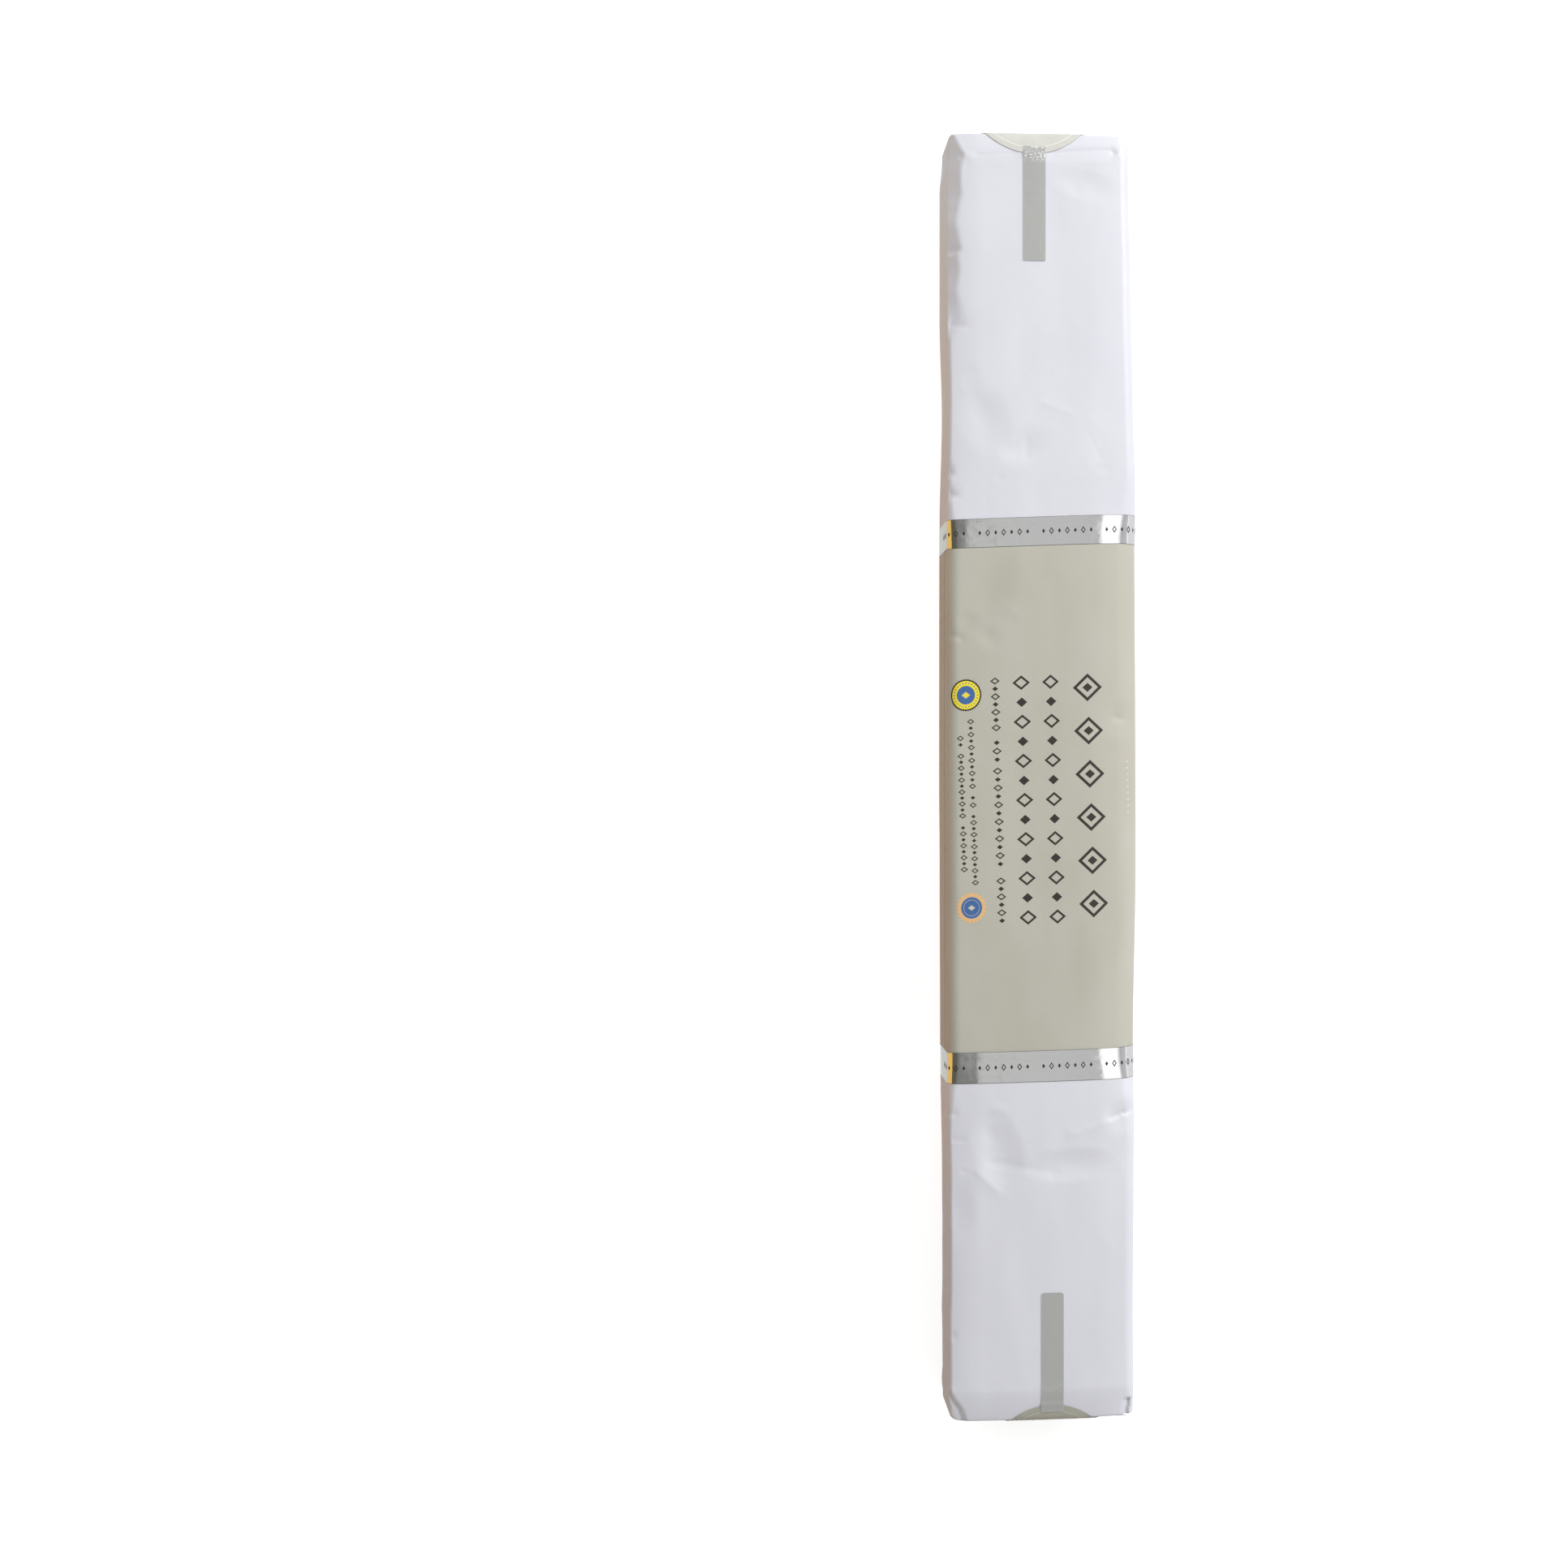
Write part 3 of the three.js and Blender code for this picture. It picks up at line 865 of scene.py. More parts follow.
# Rows lie closest at the rims, close on the slopes, and wide apart under the label.
RIM_ROWS = 0.25
SLOPE_ROWS = 0.62
FRONT_ROWS = 0.95
SINKING_ROWS = 1.0
COVERED_ROWS = 12.0
SLOPE_ROWS_REACH = 18.0

# The end face closes in rings at these shares of the rim's size, and its paper has turned in by the last.
END_RINGS = [0.97, 0.9, 0.8, 0.65, 0.5, 0.35, 0.2, 0.08]
PAPER_TURN_SHARE = 0.05


def wrapper_inset(along):
    """How far the wrapping paper is set in: more under the label and the foils."""
    into = smoothstep(along, FOOT_FOIL[0] + COVER_FROM, FOOT_FOIL[0] + COVER_EASE)
    out_of = smoothstep(along, HEAD_FOIL[1] - COVER_EASE, HEAD_FOIL[1] - COVER_FROM)
    return lerp(BARE_PAPER_INSET, COVERED_PAPER_INSET, into - out_of)


def close_end(sheet, end):
    """Turns the open end of the wrapped sheet in over the end face, ring by ring, and shuts the middle."""
    middle = Vector((0.0, end.rim_at, FRONT_HEIGHT / 2)) * MM
    rim = [edge for edge in sheet.edges if edge.is_boundary and edge.verts[0].co.y * end.toward > 0]
    last = 1.0
    for share in END_RINGS:
        verts, rim = extrude_rim(sheet, rim)
        for vert in verts:
            vert.co = middle + (vert.co - middle) * (share / last)
            hollow = END_HOLLOW * (1.0 - share) + PAPER_TURN * smoothstep(1.0 - share, 0.0, PAPER_TURN_SHARE)
            vert.co.y = (end.rim_at - end.toward * hollow) * MM + end.slant * vert.co.x
        last = share
    bmesh.ops.edgeloop_fill(sheet, edges=rim)


def wrapping_paper(finish):
    """The paper round the bundle, from rim to rim, with both ends turned in and shut."""
    stations = stations_round(WRAPPER_STEPS, WRAPPER_EDGE_STEPS)
    rows = rows_between(
        [
            FOOT.rim_at,
            (FOOT.rim_at + RIM_ROUNDING, RIM_ROWS),
            (FOOT.rim_at + SLOPE_ROWS_REACH, SLOPE_ROWS),
            (FOOT_FOIL[0] + COVER_FROM, FRONT_ROWS),
            (FOOT_FOIL[0] + COVER_EASE, SINKING_ROWS),
            (HEAD_FOIL[1] - COVER_EASE, COVERED_ROWS),
            (HEAD_FOIL[1] - COVER_FROM, SINKING_ROWS),
            (HEAD.rim_at - SLOPE_ROWS_REACH, FRONT_ROWS),
            (HEAD.rim_at - RIM_ROUNDING, SLOPE_ROWS),
            (HEAD.rim_at, RIM_ROWS),
        ]
    )

    def place(column, row):
        return skin_point(stations[column], rows[row], wrapper_inset(rows[row]), PAPER_UNDERSIDE)

    sheet = grid_sheet(len(stations), len(rows), place)
    close_seam(sheet)
    for end in (HEAD, FOOT):
        close_end(sheet, end)
    return finish_piece("wrapper_paper", sheet, finish, ["wrapper"])


# The ends are folded like a parcel's: a flap comes down from the front and one up from the back.
FLAP_DEPTH = {"front": 23.0, "back": 25.0}
FLAP_LIFT = {"front": 0.16, "back": 0.04}
FLAP_FROM_RIM = 0.4
FLAP_THICKNESS = 0.12
FLAP_SIDE_IN = 3.0
FLAP_FOLLOWS = 0.8
FLAP_SWELL = 0.12
FLAP_SWELL_OVER = 4.0
FLAP_WAVE = 0.05
FLAP_WAVE_SIZE = 6.0


def end_flap(end, side, finish):
    """A flap on the end face: its sides run in at 45 degrees, as a parcel's do."""
    columns, rows = 33, 15
    left, right, top, bottom = walls_at(end.rim_at, BARE_PAPER_INSET, PAPER_UNDERSIDE)
    start = top - FLAP_FROM_RIM if side == "front" else bottom + FLAP_FROM_RIM
    way = -1.0 if side == "front" else 1.0

    def place(column, row):
        down = FLAP_DEPTH[side] * row / (rows - 1)
        slip = FLAP_SIDE_IN + down
        x = lerp(left + slip, right - slip, column / (columns - 1))
        z = start + way * down
        inward = min(1.0 - abs(2.0 * x / (right - left)), 1.0 - abs(z / (FRONT_HEIGHT / 2) - 1.0))
        lift = -PAPER_TURN - END_HOLLOW * FLAP_FOLLOWS * inward + FLAP_LIFT[side]
        lift += FLAP_SWELL * smoothstep(down, 0.0, FLAP_SWELL_OVER)
        wave = FLAP_WAVE * noise.noise(Vector((x / FLAP_WAVE_SIZE, z / FLAP_WAVE_SIZE, end.rim_at)))
        return Vector((x, end.rim_at + end.slant * x + end.toward * (lift + wave), z))

    sheet = grid_sheet(columns, rows, place)
    name = f"wrapper_flap_{end.name}_{side}"
    return finish_sheet(name, sheet, finish, ["wrapper"], FLAP_THICKNESS)


# The wrapping paper's lap along the back: its left edge runs into the paper, and its right edge wavers.
LAP_LEFT = -11.0
LAP_RIGHT = 8.0
LAP_LIFT = 0.16
LAP_BURIED = 0.25
LAP_WAVER = 0.4
LAP_WAVER_LENGTH = 30.0
LAP_WAVER_LAYER = 5.0
LAP_THICKNESS = 0.08
LAP_ROWS = 4.0
LAP_FROM_FOIL = 0.6
LAP_FROM_SLOPE = 1.0


def back_lap(end, finish):
    """The lap between a foil band and the slope at one end."""
    columns = 9
    foil_edge = HEAD_FOIL[1] if end is HEAD else FOOT_FOIL[0]
    last = end.rim_at - end.toward * (end.slope_length + LAP_FROM_SLOPE)
    rows = rows_between([foil_edge + end.toward * LAP_FROM_FOIL, (last, LAP_ROWS)])

    def place(column, row):
        share = column / (columns - 1)
        x = lerp(LAP_LEFT, LAP_RIGHT, share)
        along = rows[row]
        buried = LAP_BURIED * (1.0 - smoothstep(share, 0.0, 0.5))
        waver = LAP_WAVER * noise.noise(Vector((along / LAP_WAVER_LENGTH, share, LAP_WAVER_LAYER))) * share
        return Vector((x + waver, along + slant_at(along) * x, PAPER_UNDERSIDE - LAP_LIFT + buried))

    sheet = grid_sheet(columns, len(rows), place)
    name = f"wrapper_lap_{end.name}"
    return finish_sheet(name, sheet, finish, ["wrapper"], LAP_THICKNESS)


# ---- The label and the foil bands ----

LABEL_STEPS = {"left": 12, "front": 72, "right": 12, "back": 24}
LABEL_EDGE_STEPS = 9
LABEL_SEAM_SHARE = 0.62
LABEL_OVERLAP_SHARE = 0.16
LABEL_UNDER_FOIL = 1.2
LABEL_RISE = 1.6
LABEL_ROWS = 1.15
LABEL_HEM_ROWS = 0.6
LABEL_THICKNESS = 0.1

# At its seam the label's last columns lie over its first ones.
LAP_COLUMNS = 6
LAP_COLUMNS_EASE = 4
UNDERLAP_COLUMNS = 7
UNDERLAP_DEPTH = 0.08
OVERLAP_LIFT = 0.12


def label_wrap(finish):
    """The label goes once round and laps over itself on the left side."""
    stations = stations_round(LABEL_STEPS, LABEL_EDGE_STEPS, LABEL_SEAM_SHARE, LABEL_OVERLAP_SHARE)
    first, last = FOOT_FOIL[1] - LABEL_UNDER_FOIL, HEAD_FOIL[0] + LABEL_UNDER_FOIL
    rows = rows_between(
        [first, (FOOT_FOIL[1], LABEL_HEM_ROWS), (HEAD_FOIL[0], LABEL_ROWS), (last, LABEL_HEM_ROWS)]
    )
    lap_from = len(stations) - LAP_COLUMNS

    def place(column, row):
        along = rows[row]
        visible = smoothstep(along, first, first + LABEL_RISE) * smoothstep(last - along, 0.0, LABEL_RISE)
        inset = lerp(LABEL_END_INSET, LABEL_INSET, visible)
        over = smoothstep(column, lap_from - LAP_COLUMNS_EASE, lap_from)
        under = 1.0 - smoothstep(column, 1, UNDERLAP_COLUMNS)
        inset += UNDERLAP_DEPTH * under - OVERLAP_LIFT * over * visible
        return skin_point(stations[column], along, inset, inset)

    sheet = grid_sheet(len(stations), len(rows), place)
    return finish_sheet("label_sheet", sheet, finish, ["label"], LABEL_THICKNESS)


FOIL_STEPS = {"left": 12, "front": 66, "right": 12, "back": 20}
FOIL_EDGE_STEPS = 12
FOIL_SEAM_SHARE = 0.3
FOIL_ROWS = 0.95
FOIL_THICKNESS = 0.06


def foil_band(name, stretch, finish):
    """A foil band round the packet, over a stretch along it."""
    stations = stations_round(FOIL_STEPS, FOIL_EDGE_STEPS, FOIL_SEAM_SHARE)
    rows = rows_between([stretch[0], (stretch[1], FOIL_ROWS)])

    def place(column, row):
        return skin_point(stations[column], rows[row], FOIL_INSET, FOIL_UNDERSIDE)

    sheet = grid_sheet(len(stations), len(rows), place)
    close_seam(sheet)
    return finish_sheet(f"{name}_sheet", sheet, finish, [name], FOIL_THICKNESS)


# ---- The print: plain lozenges, rings and rosettes in ink ----

INK_THICKNESS = 0.03
INK_LIFTS = {"yellow": 0.035, "orange": 0.035, "silver": 0.035, "blue": 0.045, "dark": 0.05}

# The print stands a little turned on the packet, and the leaning sides bring plan places in by a share.
PRINT_TURN = 0.03
LABEL_REACH = 39.8
PLAN_TO_RUN = 1.0 / (1.0 - LEAN * FRONT_HEIGHT / LABEL_REACH)

# A row of marks along the packet: its place across at the middle, the stretches that it fills,
# the pitch of the marks, half the size of a mark across and along, and the width of its line
MarkRow = namedtuple("MarkRow", "across stretches pitch half line")
MARK_ROWS = [
    MarkRow(18.7, [(35.5, -51.5)], 17.4, (6.05, 5.6), 1.1),
    MarkRow(3.9, [(38.2, -56.2)], 7.9, (3.45, 2.9), 0.8),
    MarkRow(-7.9, [(38.2, -56.2)], 7.9, (3.6, 2.9), 0.8),
    MarkRow(-18.4, [(39.2, 20.4), (14.4, 7.6), (3.0, -34.4), (-41.2, -57.2)], 3.3, (1.95, 1.4), 0.45),
    MarkRow(-28.6, [(23.2, -2.8), (-7.4, -10.4), (-15.0, -41.6)], 2.5, (1.5, 1.1), 0.36),
    MarkRow(-32.9, [(16.6, 14.0), (9.4, -14.6), (-19.4, -36.2)], 2.5, (1.5, 1.1), 0.36),
]

# The first row's marks have a small solid lozenge at the heart.
HEART_HALF = (2.1, 1.8)

# Solid marks are smaller than the outlined ones between them, by these shares across and along.
SOLID_SHARES = (0.62, 0.66)

ROSETTE_RADIUS = 6.35
ROSETTES = {"yellow": (-31.2, 33.9), "orange": (-28.9, -51.7)}
ROSETTE_DOTS = 24
ROSETTE_DOTS_RADIUS = 4.8
ROSETTE_DOT_RADIUS = 0.28

# Silver ticks near the right edge
TICK_ACROSS = 34.6
TICK_STRETCH = (5.2, -15.0)
TICK_PITCH = 2.4
TICK_HALF = (0.75, 0.5)

# Small dark marks low on the left side: a stretch along, the pitch and half sizes
SIDE_MARK_HEIGHT = 17.0
SIDE_MARKS = [(-72.5, -86.0, 1.7, (0.5, 0.6)), (-97.6, -103.8, 3.1, (1.2, 1.1))]

# Marks round the foil bands, in groups with a space between
FOIL_MARK_FROM, FOIL_MARK_TO = -56.0, 46.0
FOIL_MARK_PITCH = 3.3
FOIL_MARK_GROUP = 8
FOIL_MARK_HALF = (1.0, 1.45)
FOIL_MARK_LINE = 0.36


def station_at(run, along):
    """The place round the section at a run to the right of the front's middle, negative to the left."""
    side = "left" if run < 0 else "right"
    left, right = girth_at(along)
    front = f"front_{side}"
    radius, back_radius = edge_radius(front, along), edge_radius(f"back_{side}", along)
    over = abs(run) - (abs(left if run < 0 else right) - radius)
    arc = radius * math.pi / 2
    if over < 0:
        start, end = left + edge_radius("front_left", along), right - edge_radius("front_right", along)
        return Station("front", (run - start) / (end - start))
    if over < arc:
        return Station(front, over / arc if run > 0 else 1.0 - over / arc)
    down = (over - arc) / (FRONT_HEIGHT - CROWN - radius - back_radius)
    return Station(side, down if run > 0 else 1.0 - down)


def lozenge(way, across, along):
    """The rim of a lozenge in one direction, as the other shapes of the print are given too."""
    return way / (abs(way.x) / across + abs(way.y) / along)


def oval(way, across, along):
    return Vector((way.x * across, way.y * along, 0.0))


def lobed(lobes, depth):
    """An oval whose rim goes in and out, as a scallop or as rays."""

    def rim(way, across, along):
        return oval(way, across, along) * (1.0 + depth * math.cos(lobes * math.atan2(way.y, way.x)))

    return rim


def nearest_vert(vert, loop):
    return min(range(len(loop)), key=lambda index: (vert.co - loop[index].co).length)


def patch(ink, at, outer, inner=None, count=24, rings=1):
    """A flat ring of ink between two outlines, or a filled one. An outline is a shape and its half sizes."""
    loop = bmesh.ops.create_circle(ink, cap_ends=False, radius=1.0, segments=count)["verts"]
    ways = [vert.co.normalized() for vert in loop]
    edges = list({edge for vert in loop for edge in vert.link_edges})
    (shape, *half), filled = outer, inner is None
    inner_shape, *inner_half = inner or (shape, *(0.2 * part for part in half))
    for ring in range(rings + 1):
        share = ring / rings
        for vert, way in zip(loop, ways):
            place = shape(way, *half).lerp(inner_shape(way, *inner_half), share)
            vert.co = Vector((at[0], at[1], 0.0)) + place
        if ring < rings:
            verts, edges = extrude_rim(ink, edges)
            ways = [ways[nearest_vert(vert, loop)] for vert in verts]
            loop = verts
    if filled:
        bmesh.ops.edgeloop_fill(ink, edges=edges)


def outlined(ink, at, half, line, count=16):
    """An outlined lozenge."""
    inner = [part - line * math.hypot(*half) / other for part, other in zip(half, reversed(half))]
    patch(ink, at, (lozenge, *half), (lozenge, *inner), count)


def mark(ink, at, half, line, index):
    """An outlined lozenge or a small solid one, by turns."""
    if index % 2:
        solid = [share * part for share, part in zip(SOLID_SHARES, half)]
        patch(ink, at, (lozenge, *solid), count=8)
    else:
        outlined(ink, at, half, line)


def steps_between(start, end, pitch):
    count = max(round(abs(end - start) / pitch), 1)
    return [lerp(start, end, step / count) for step in range(count + 1)]


def mark_rows(ink):
    """The rows of lozenges along the label."""
    for row in MARK_ROWS:
        places = [along for stretch in row.stretches for along in steps_between(*stretch, row.pitch)]
        for index, along in enumerate(places):
            at = ((row.across - PRINT_TURN * along) * PLAN_TO_RUN, along)
            if row is MARK_ROWS[0]:
                outlined(ink, at, row.half, row.line, 32)
                patch(ink, at, (lozenge, *HEART_HALF), count=8)
            else:
                mark(ink, at, row.half, row.line, index)


def side_marks(ink):
    """The marks on the left wall, at one height above the floor."""
    left, _ = girth_at(SIDE_MARKS[0][0])
    radius = edge_radius("front_left", SIDE_MARKS[0][0])
    down = FRONT_HEIGHT - radius - SIDE_MARK_HEIGHT
    run = left + radius - radius * math.pi / 2 - down
    for start, end, pitch, half in SIDE_MARKS:
        for along in steps_between(start, end, pitch):
            patch(ink, (run, along), (lozenge, *half), count=8)


def rosettes(inks):
    """A yellow rosette with a scalloped dark rim and an orange one with rays, both with a blue heart."""
    x, y = ROSETTES["yellow"]
    at = (x * PLAN_TO_RUN, y)
    rim = ROSETTE_RADIUS
    patch(inks["dark"], at, (lobed(40, 0.035), rim, rim), (oval, rim - 0.6, rim - 0.6), 160)
    patch(inks["yellow"], at, (oval, rim - 0.55, rim - 0.55), (oval, 3.7, 3.7), 48, 3)
    patch(inks["blue"], at, (oval, 3.75, 3.75), (lozenge, 1.9, 1.5), 48, 3)
    patch(inks["yellow"], at, (lozenge, 1.5, 1.1), count=16, rings=2)
    for step in range(ROSETTE_DOTS):
        turn = 2 * math.pi * step / ROSETTE_DOTS
        spot = (at[0] + ROSETTE_DOTS_RADIUS * math.cos(turn), at[1] + ROSETTE_DOTS_RADIUS * math.sin(turn))
        patch(inks["blue"], spot, (oval, ROSETTE_DOT_RADIUS, ROSETTE_DOT_RADIUS), count=6)
    x, y = ROSETTES["orange"]
    at = (x * PLAN_TO_RUN, y)
    patch(inks["orange"], at, (lobed(22, 0.09), rim - 0.5, rim - 0.5), (oval, 4.5, 4.5), 132, 2)
    patch(inks["blue"], at, (oval, 4.25, 4.25), (oval, 3.35, 3.35), 48)
    patch(inks["blue"], at, (oval, 3.1, 3.1), (lozenge, 1.6, 1.2), 48, 3)
    patch(inks["silver"], at, (lozenge, 1.2, 0.8), count=16, rings=2)


def silver_ticks(ink):
    for along in steps_between(*TICK_STRETCH, TICK_PITCH):
        at = ((TICK_ACROSS - PRINT_TURN * along) * PLAN_TO_RUN, along)
        patch(ink, at, (lozenge, *TICK_HALF), count=8)


def foil_marks(stretch):
    """The marks round a foil band, along its middle."""
    ink = bmesh.new()
    middle = (stretch[0] + stretch[1]) / 2
    for index, run in enumerate(steps_between(FOIL_MARK_FROM, FOIL_MARK_TO, FOIL_MARK_PITCH)):
        if index % FOIL_MARK_GROUP:
            mark(ink, (run, middle), FOIL_MARK_HALF, FOIL_MARK_LINE, index)
    return ink


def lay_print(name, ink, lift, inset, finish):
    """Lays flat ink on the packet's skin. Its flat places are runs across and places along."""
    ink.normal_update()
    bmesh.ops.reverse_faces(ink, faces=[face for face in ink.faces if face.normal.z < 0])
    for vert in ink.verts:
        run, along = vert.co.x, vert.co.y
        vert.co = skin_point(station_at(run, along), along, inset - lift, inset - lift) * MM
    return finish_sheet(name, ink, finish, (), INK_THICKNESS)


def label_print(finishes):
    inks = {name: bmesh.new() for name in INK_LIFTS}
    mark_rows(inks["dark"])
    side_marks(inks["dark"])
    silver_ticks(inks["silver"])
    rosettes(inks)
    for name, ink in inks.items():
        lay_print(f"label_print_{name}", ink, INK_LIFTS[name], LABEL_INSET, finishes[name])


def foil_print(name, stretch, finish):
    lay_print(name, foil_marks(stretch), INK_LIFTS["silver"], FOIL_INSET, finish)


# ---- The end seals ----

SEAL_REACH = 100.0
SEAL_THICKNESS = 0.14
DISC_LIFT = 0.32
DISC_RINGS = 22
DISC_SPOKES = 112
STRIP_STARTS = 22.0
STRIP_LIFT = 0.26
STRIP_OVER_DISC = 0.52
STRIP_SETTLES = (0.2, 2.0)
STRIP_WIDTH = 8.9
STRIP_END_AT = 207.4
STRIP_THICKNESS = 0.12
STRIP_CORNER = {"head": 0.5, "foot": 1.0}

# A strip is worn where it starts and where it bends: how strongly, and over what length on each place.
STRIP_WEAR = {"head": 1.0, "foot": 0.15}
WEAR_MIDDLE = 0.6
START_WEAR_LENGTH = 1.1
BEND_WEAR_LENGTH = 2.6

# The seals bend softly: their line is averaged over this reach to both sides.
BEND_REACH = 1.1
BEND_SHARES = (-1.0, -0.5, 0.0, 0.5, 1.0)


def seal_corners(end):
    """The line that the seals follow, as distances short of the rim and heights, with the run at each."""
    front = FRONT_HEIGHT - BARE_PAPER_INSET
    corners = [
        Vector((SEAL_REACH, PAPER_UNDERSIDE)),
        Vector((end.slope_length, PAPER_UNDERSIDE)),
        Vector((0.0, PAPER_UNDERSIDE + SLOPE_DROP)),
        Vector((0.0, front - SLOPE_DROP)),
        Vector((end.slope_length, front)),
        Vector((SEAL_REACH, front)),
    ]
    runs = [0.0]
    for before, after in zip(corners, corners[1:]):
        runs.append(runs[-1] + (after - before).length)
    start = runs[2] + end.disc_height - corners[2].y
    return corners, [run - start for run in runs]


SEAL_LINES = {end.name: seal_corners(end) for end in (HEAD, FOOT)}


def on_line(end, run):
    """The place on the seal line and the way out of it, at one run from the middle of the end face."""
    corners, runs = SEAL_LINES[end.name]
    index = min(max(bisect.bisect_right(runs, run) - 1, 0), len(runs) - 2)
    way = (corners[index + 1] - corners[index]).normalized()
    return corners[index] + way * (run - runs[index]), Vector((-way.y, way.x))


def seal_point(end, x, run, lift):
    """A point of a seal: the line, bent softly at its corners, over the paper's own relief."""
    place = Vector((0.0, 0.0))
    out = Vector((0.0, 0.0))
    for share in BEND_SHARES:
        near, outwards = on_line(end, run + share * BEND_REACH)
        place += near / len(BEND_SHARES)
        out += outwards / len(BEND_SHARES)
    place += out.normalized() * lift
    along = end.rim_at - end.toward * place.x
    y = along + end.slant * x
    straight = slope_share(along)
    z = place.y + math.copysign(SLOPE_DROP * (straight - straight**SLOPE_CURVE), out.y)
    if out.y > 0:
        left, right = girth_at(along)
        share = (x - left) / (right - left)
        crown = CROWN * (2.0 * share - 1.0) ** 2
        z -= out.y * (relief(x, y) + crown)
    return Vector((x, y, z))


def seal_disc(end, finish):
    """The round paper disc over an end, folded over both rims."""
    disc = bmesh.new()
    bmesh.ops.create_circle(disc, cap_ends=False, radius=DISC_RADIUS, segments=DISC_SPOKES)
    edges = list(disc.edges)
    last = 1.0
    for ring in range(1, DISC_RINGS):
        share = 1.0 - ring / DISC_RINGS
        verts, edges = extrude_rim(disc, edges)
        bmesh.ops.scale(disc, vec=Vector((share / last, share / last, 1.0)), verts=verts)
        last = share
    bmesh.ops.edgeloop_fill(disc, edges=edges)
    unwrap = disc.loops.layers.uv.new("sheet")
    for face in disc.faces:
        for loop in face.loops:
            place = loop.vert.co / (2 * DISC_RADIUS)
            loop[unwrap].uv = (place.x + 0.5, place.y + 0.5)
    for vert in disc.verts:
        vert.co = seal_point(end, end.disc_across + vert.co.x, vert.co.y, DISC_LIFT) * MM
    node = f"seal_disc_{end.name}"
    return finish_sheet(f"{node}_paper", disc, finish, [node], SEAL_THICKNESS)


def seal_strip(end, side, finish):
    """A strip from the disc's ring line to its rounded end, on the front or the back."""
    way = 1.0 if side == "front" else -1.0
    _, runs = SEAL_LINES[end.name]
    bend_run = runs[-2] if side == "front" else runs[1]
    end_run = bend_run + way * (abs(end.rim_at) - end.slope_length - STRIP_END_AT)
    start_run = way * STRIP_STARTS
    columns = 9
    rows = rows_between(
        [start_run, (bend_run + way * 3.0, 0.45), (end_run - way * 2.0, 1.3), (end_run, 0.12)]
    )

    def place(column, row):
        run = rows[row]
        from_end = abs(end_run - run)
        half = STRIP_WIDTH / 2 - round_off(from_end, STRIP_CORNER[end.name])
        x = end.strip_across + lerp(-half, half, column / (columns - 1))
        past_disc = abs(run) - DISC_RADIUS
        lift = lerp(STRIP_OVER_DISC, STRIP_LIFT, smoothstep(past_disc, *STRIP_SETTLES))
        return seal_point(end, x, run, lift)

    sheet = grid_sheet(columns, len(rows), place)
    wear = sheet.verts.layers.float.new("wear")
    unwrap = sheet.loops.layers.uv["sheet"]
    for face in sheet.faces:
        for loop in face.loops:
            run = rows[round(loop[unwrap].uv.y * (len(rows) - 1))]
            from_start = abs(run - start_run - way * WEAR_MIDDLE) / START_WEAR_LENGTH
            from_bend = abs(run - bend_run - way * WEAR_MIDDLE) / BEND_WEAR_LENGTH
            loop.vert[wear] = STRIP_WEAR[end.name] * max(1.0 - min(from_start, from_bend), 0.0)
    node = f"seal_strip_{end.name}_{side}"
    return finish_sheet(f"{node}_paper", sheet, finish, [node], STRIP_THICKNESS)


# ---- Camera, floor and light ----

# The camera stands where the photo's did, straight above and to the left. Its place is in millimetres,
# and the floor's and the lights' values below are in metres.
CAMERA_AT = (-104.35, -2.8, 917.0)
CAMERA_LENS = 50.0
CAMERA_SENSOR = 36.0
CAMERA_CLIP = 0.01

BLACK = (0.0, 0.0, 0.0, 1.0)
WHITE = (1.0, 1.0, 1.0, 1.0)

FLOOR_REACH = 12.0
FLOOR_GLOW = 0.76
FLOOR_CLOUD_SIZE = 300.0

# The bounce floor lies just under the floor. It changes from its left to its right over a stretch across,
# and from its middle to its ends over stretches along.
BOUNCE_REACH = 3.0
BOUNCE_DEPTH = 0.001
BOUNCE_ACROSS = (0.0, 0.03)
BOUNCE_TURNS = (0.09, 0.21)
BOUNCE_TIP = (0.225, 0.25)

# What it gives back: on the left beside the middle, the head half, the foot half and the head's corner,
# and on the right
BOUNCE_MIDDLE = (0.62, 0.17, 0.0)
BOUNCE_HEAD = (0.82, 0.50, 0.12)
BOUNCE_FOOT = (0.28, 0.09, 0.0)
BOUNCE_CORNER = (0.75, 0.75, 0.80)
BOUNCE_RIGHT = (0.90, 0.90, 0.90)

# Cards on the floor that the foil and the paper's gloss see: from where to where across, the height of the
# left edge turned up, and the tone
CARD_LENGTH = 3.0
CARD_LIFT = 0.001
CARDS = {
    "amber_card": ((-0.6, -0.078), 0.2, (0.88, 0.56, 0.15)),
    "grey_card_left": ((-0.0775, -0.0405), 0.0, (0.60, 0.59, 0.56)),
    "grey_card_right": ((0.0405, 0.6), 0.0, (0.80, 0.80, 0.82)),
}

# Soft lights: place, size, power, tint, and whether gloss sees them
LIGHTS_LOOK_AT = (0.0, 0.0, 0.02)
LIGHTS = {
    "key_right": ((1.45, 1.15, 1.05), 1.2, 35.0, (1.0, 0.995, 0.99), True),
    "fill_above": ((-0.30, 0.70, 1.25), 0.7, 1.6, (1.0, 1.0, 1.0), False),
    "fill_left": ((-0.80, 0.45, 1.00), 0.8, 7.4, (0.97, 0.985, 1.0), False),
}

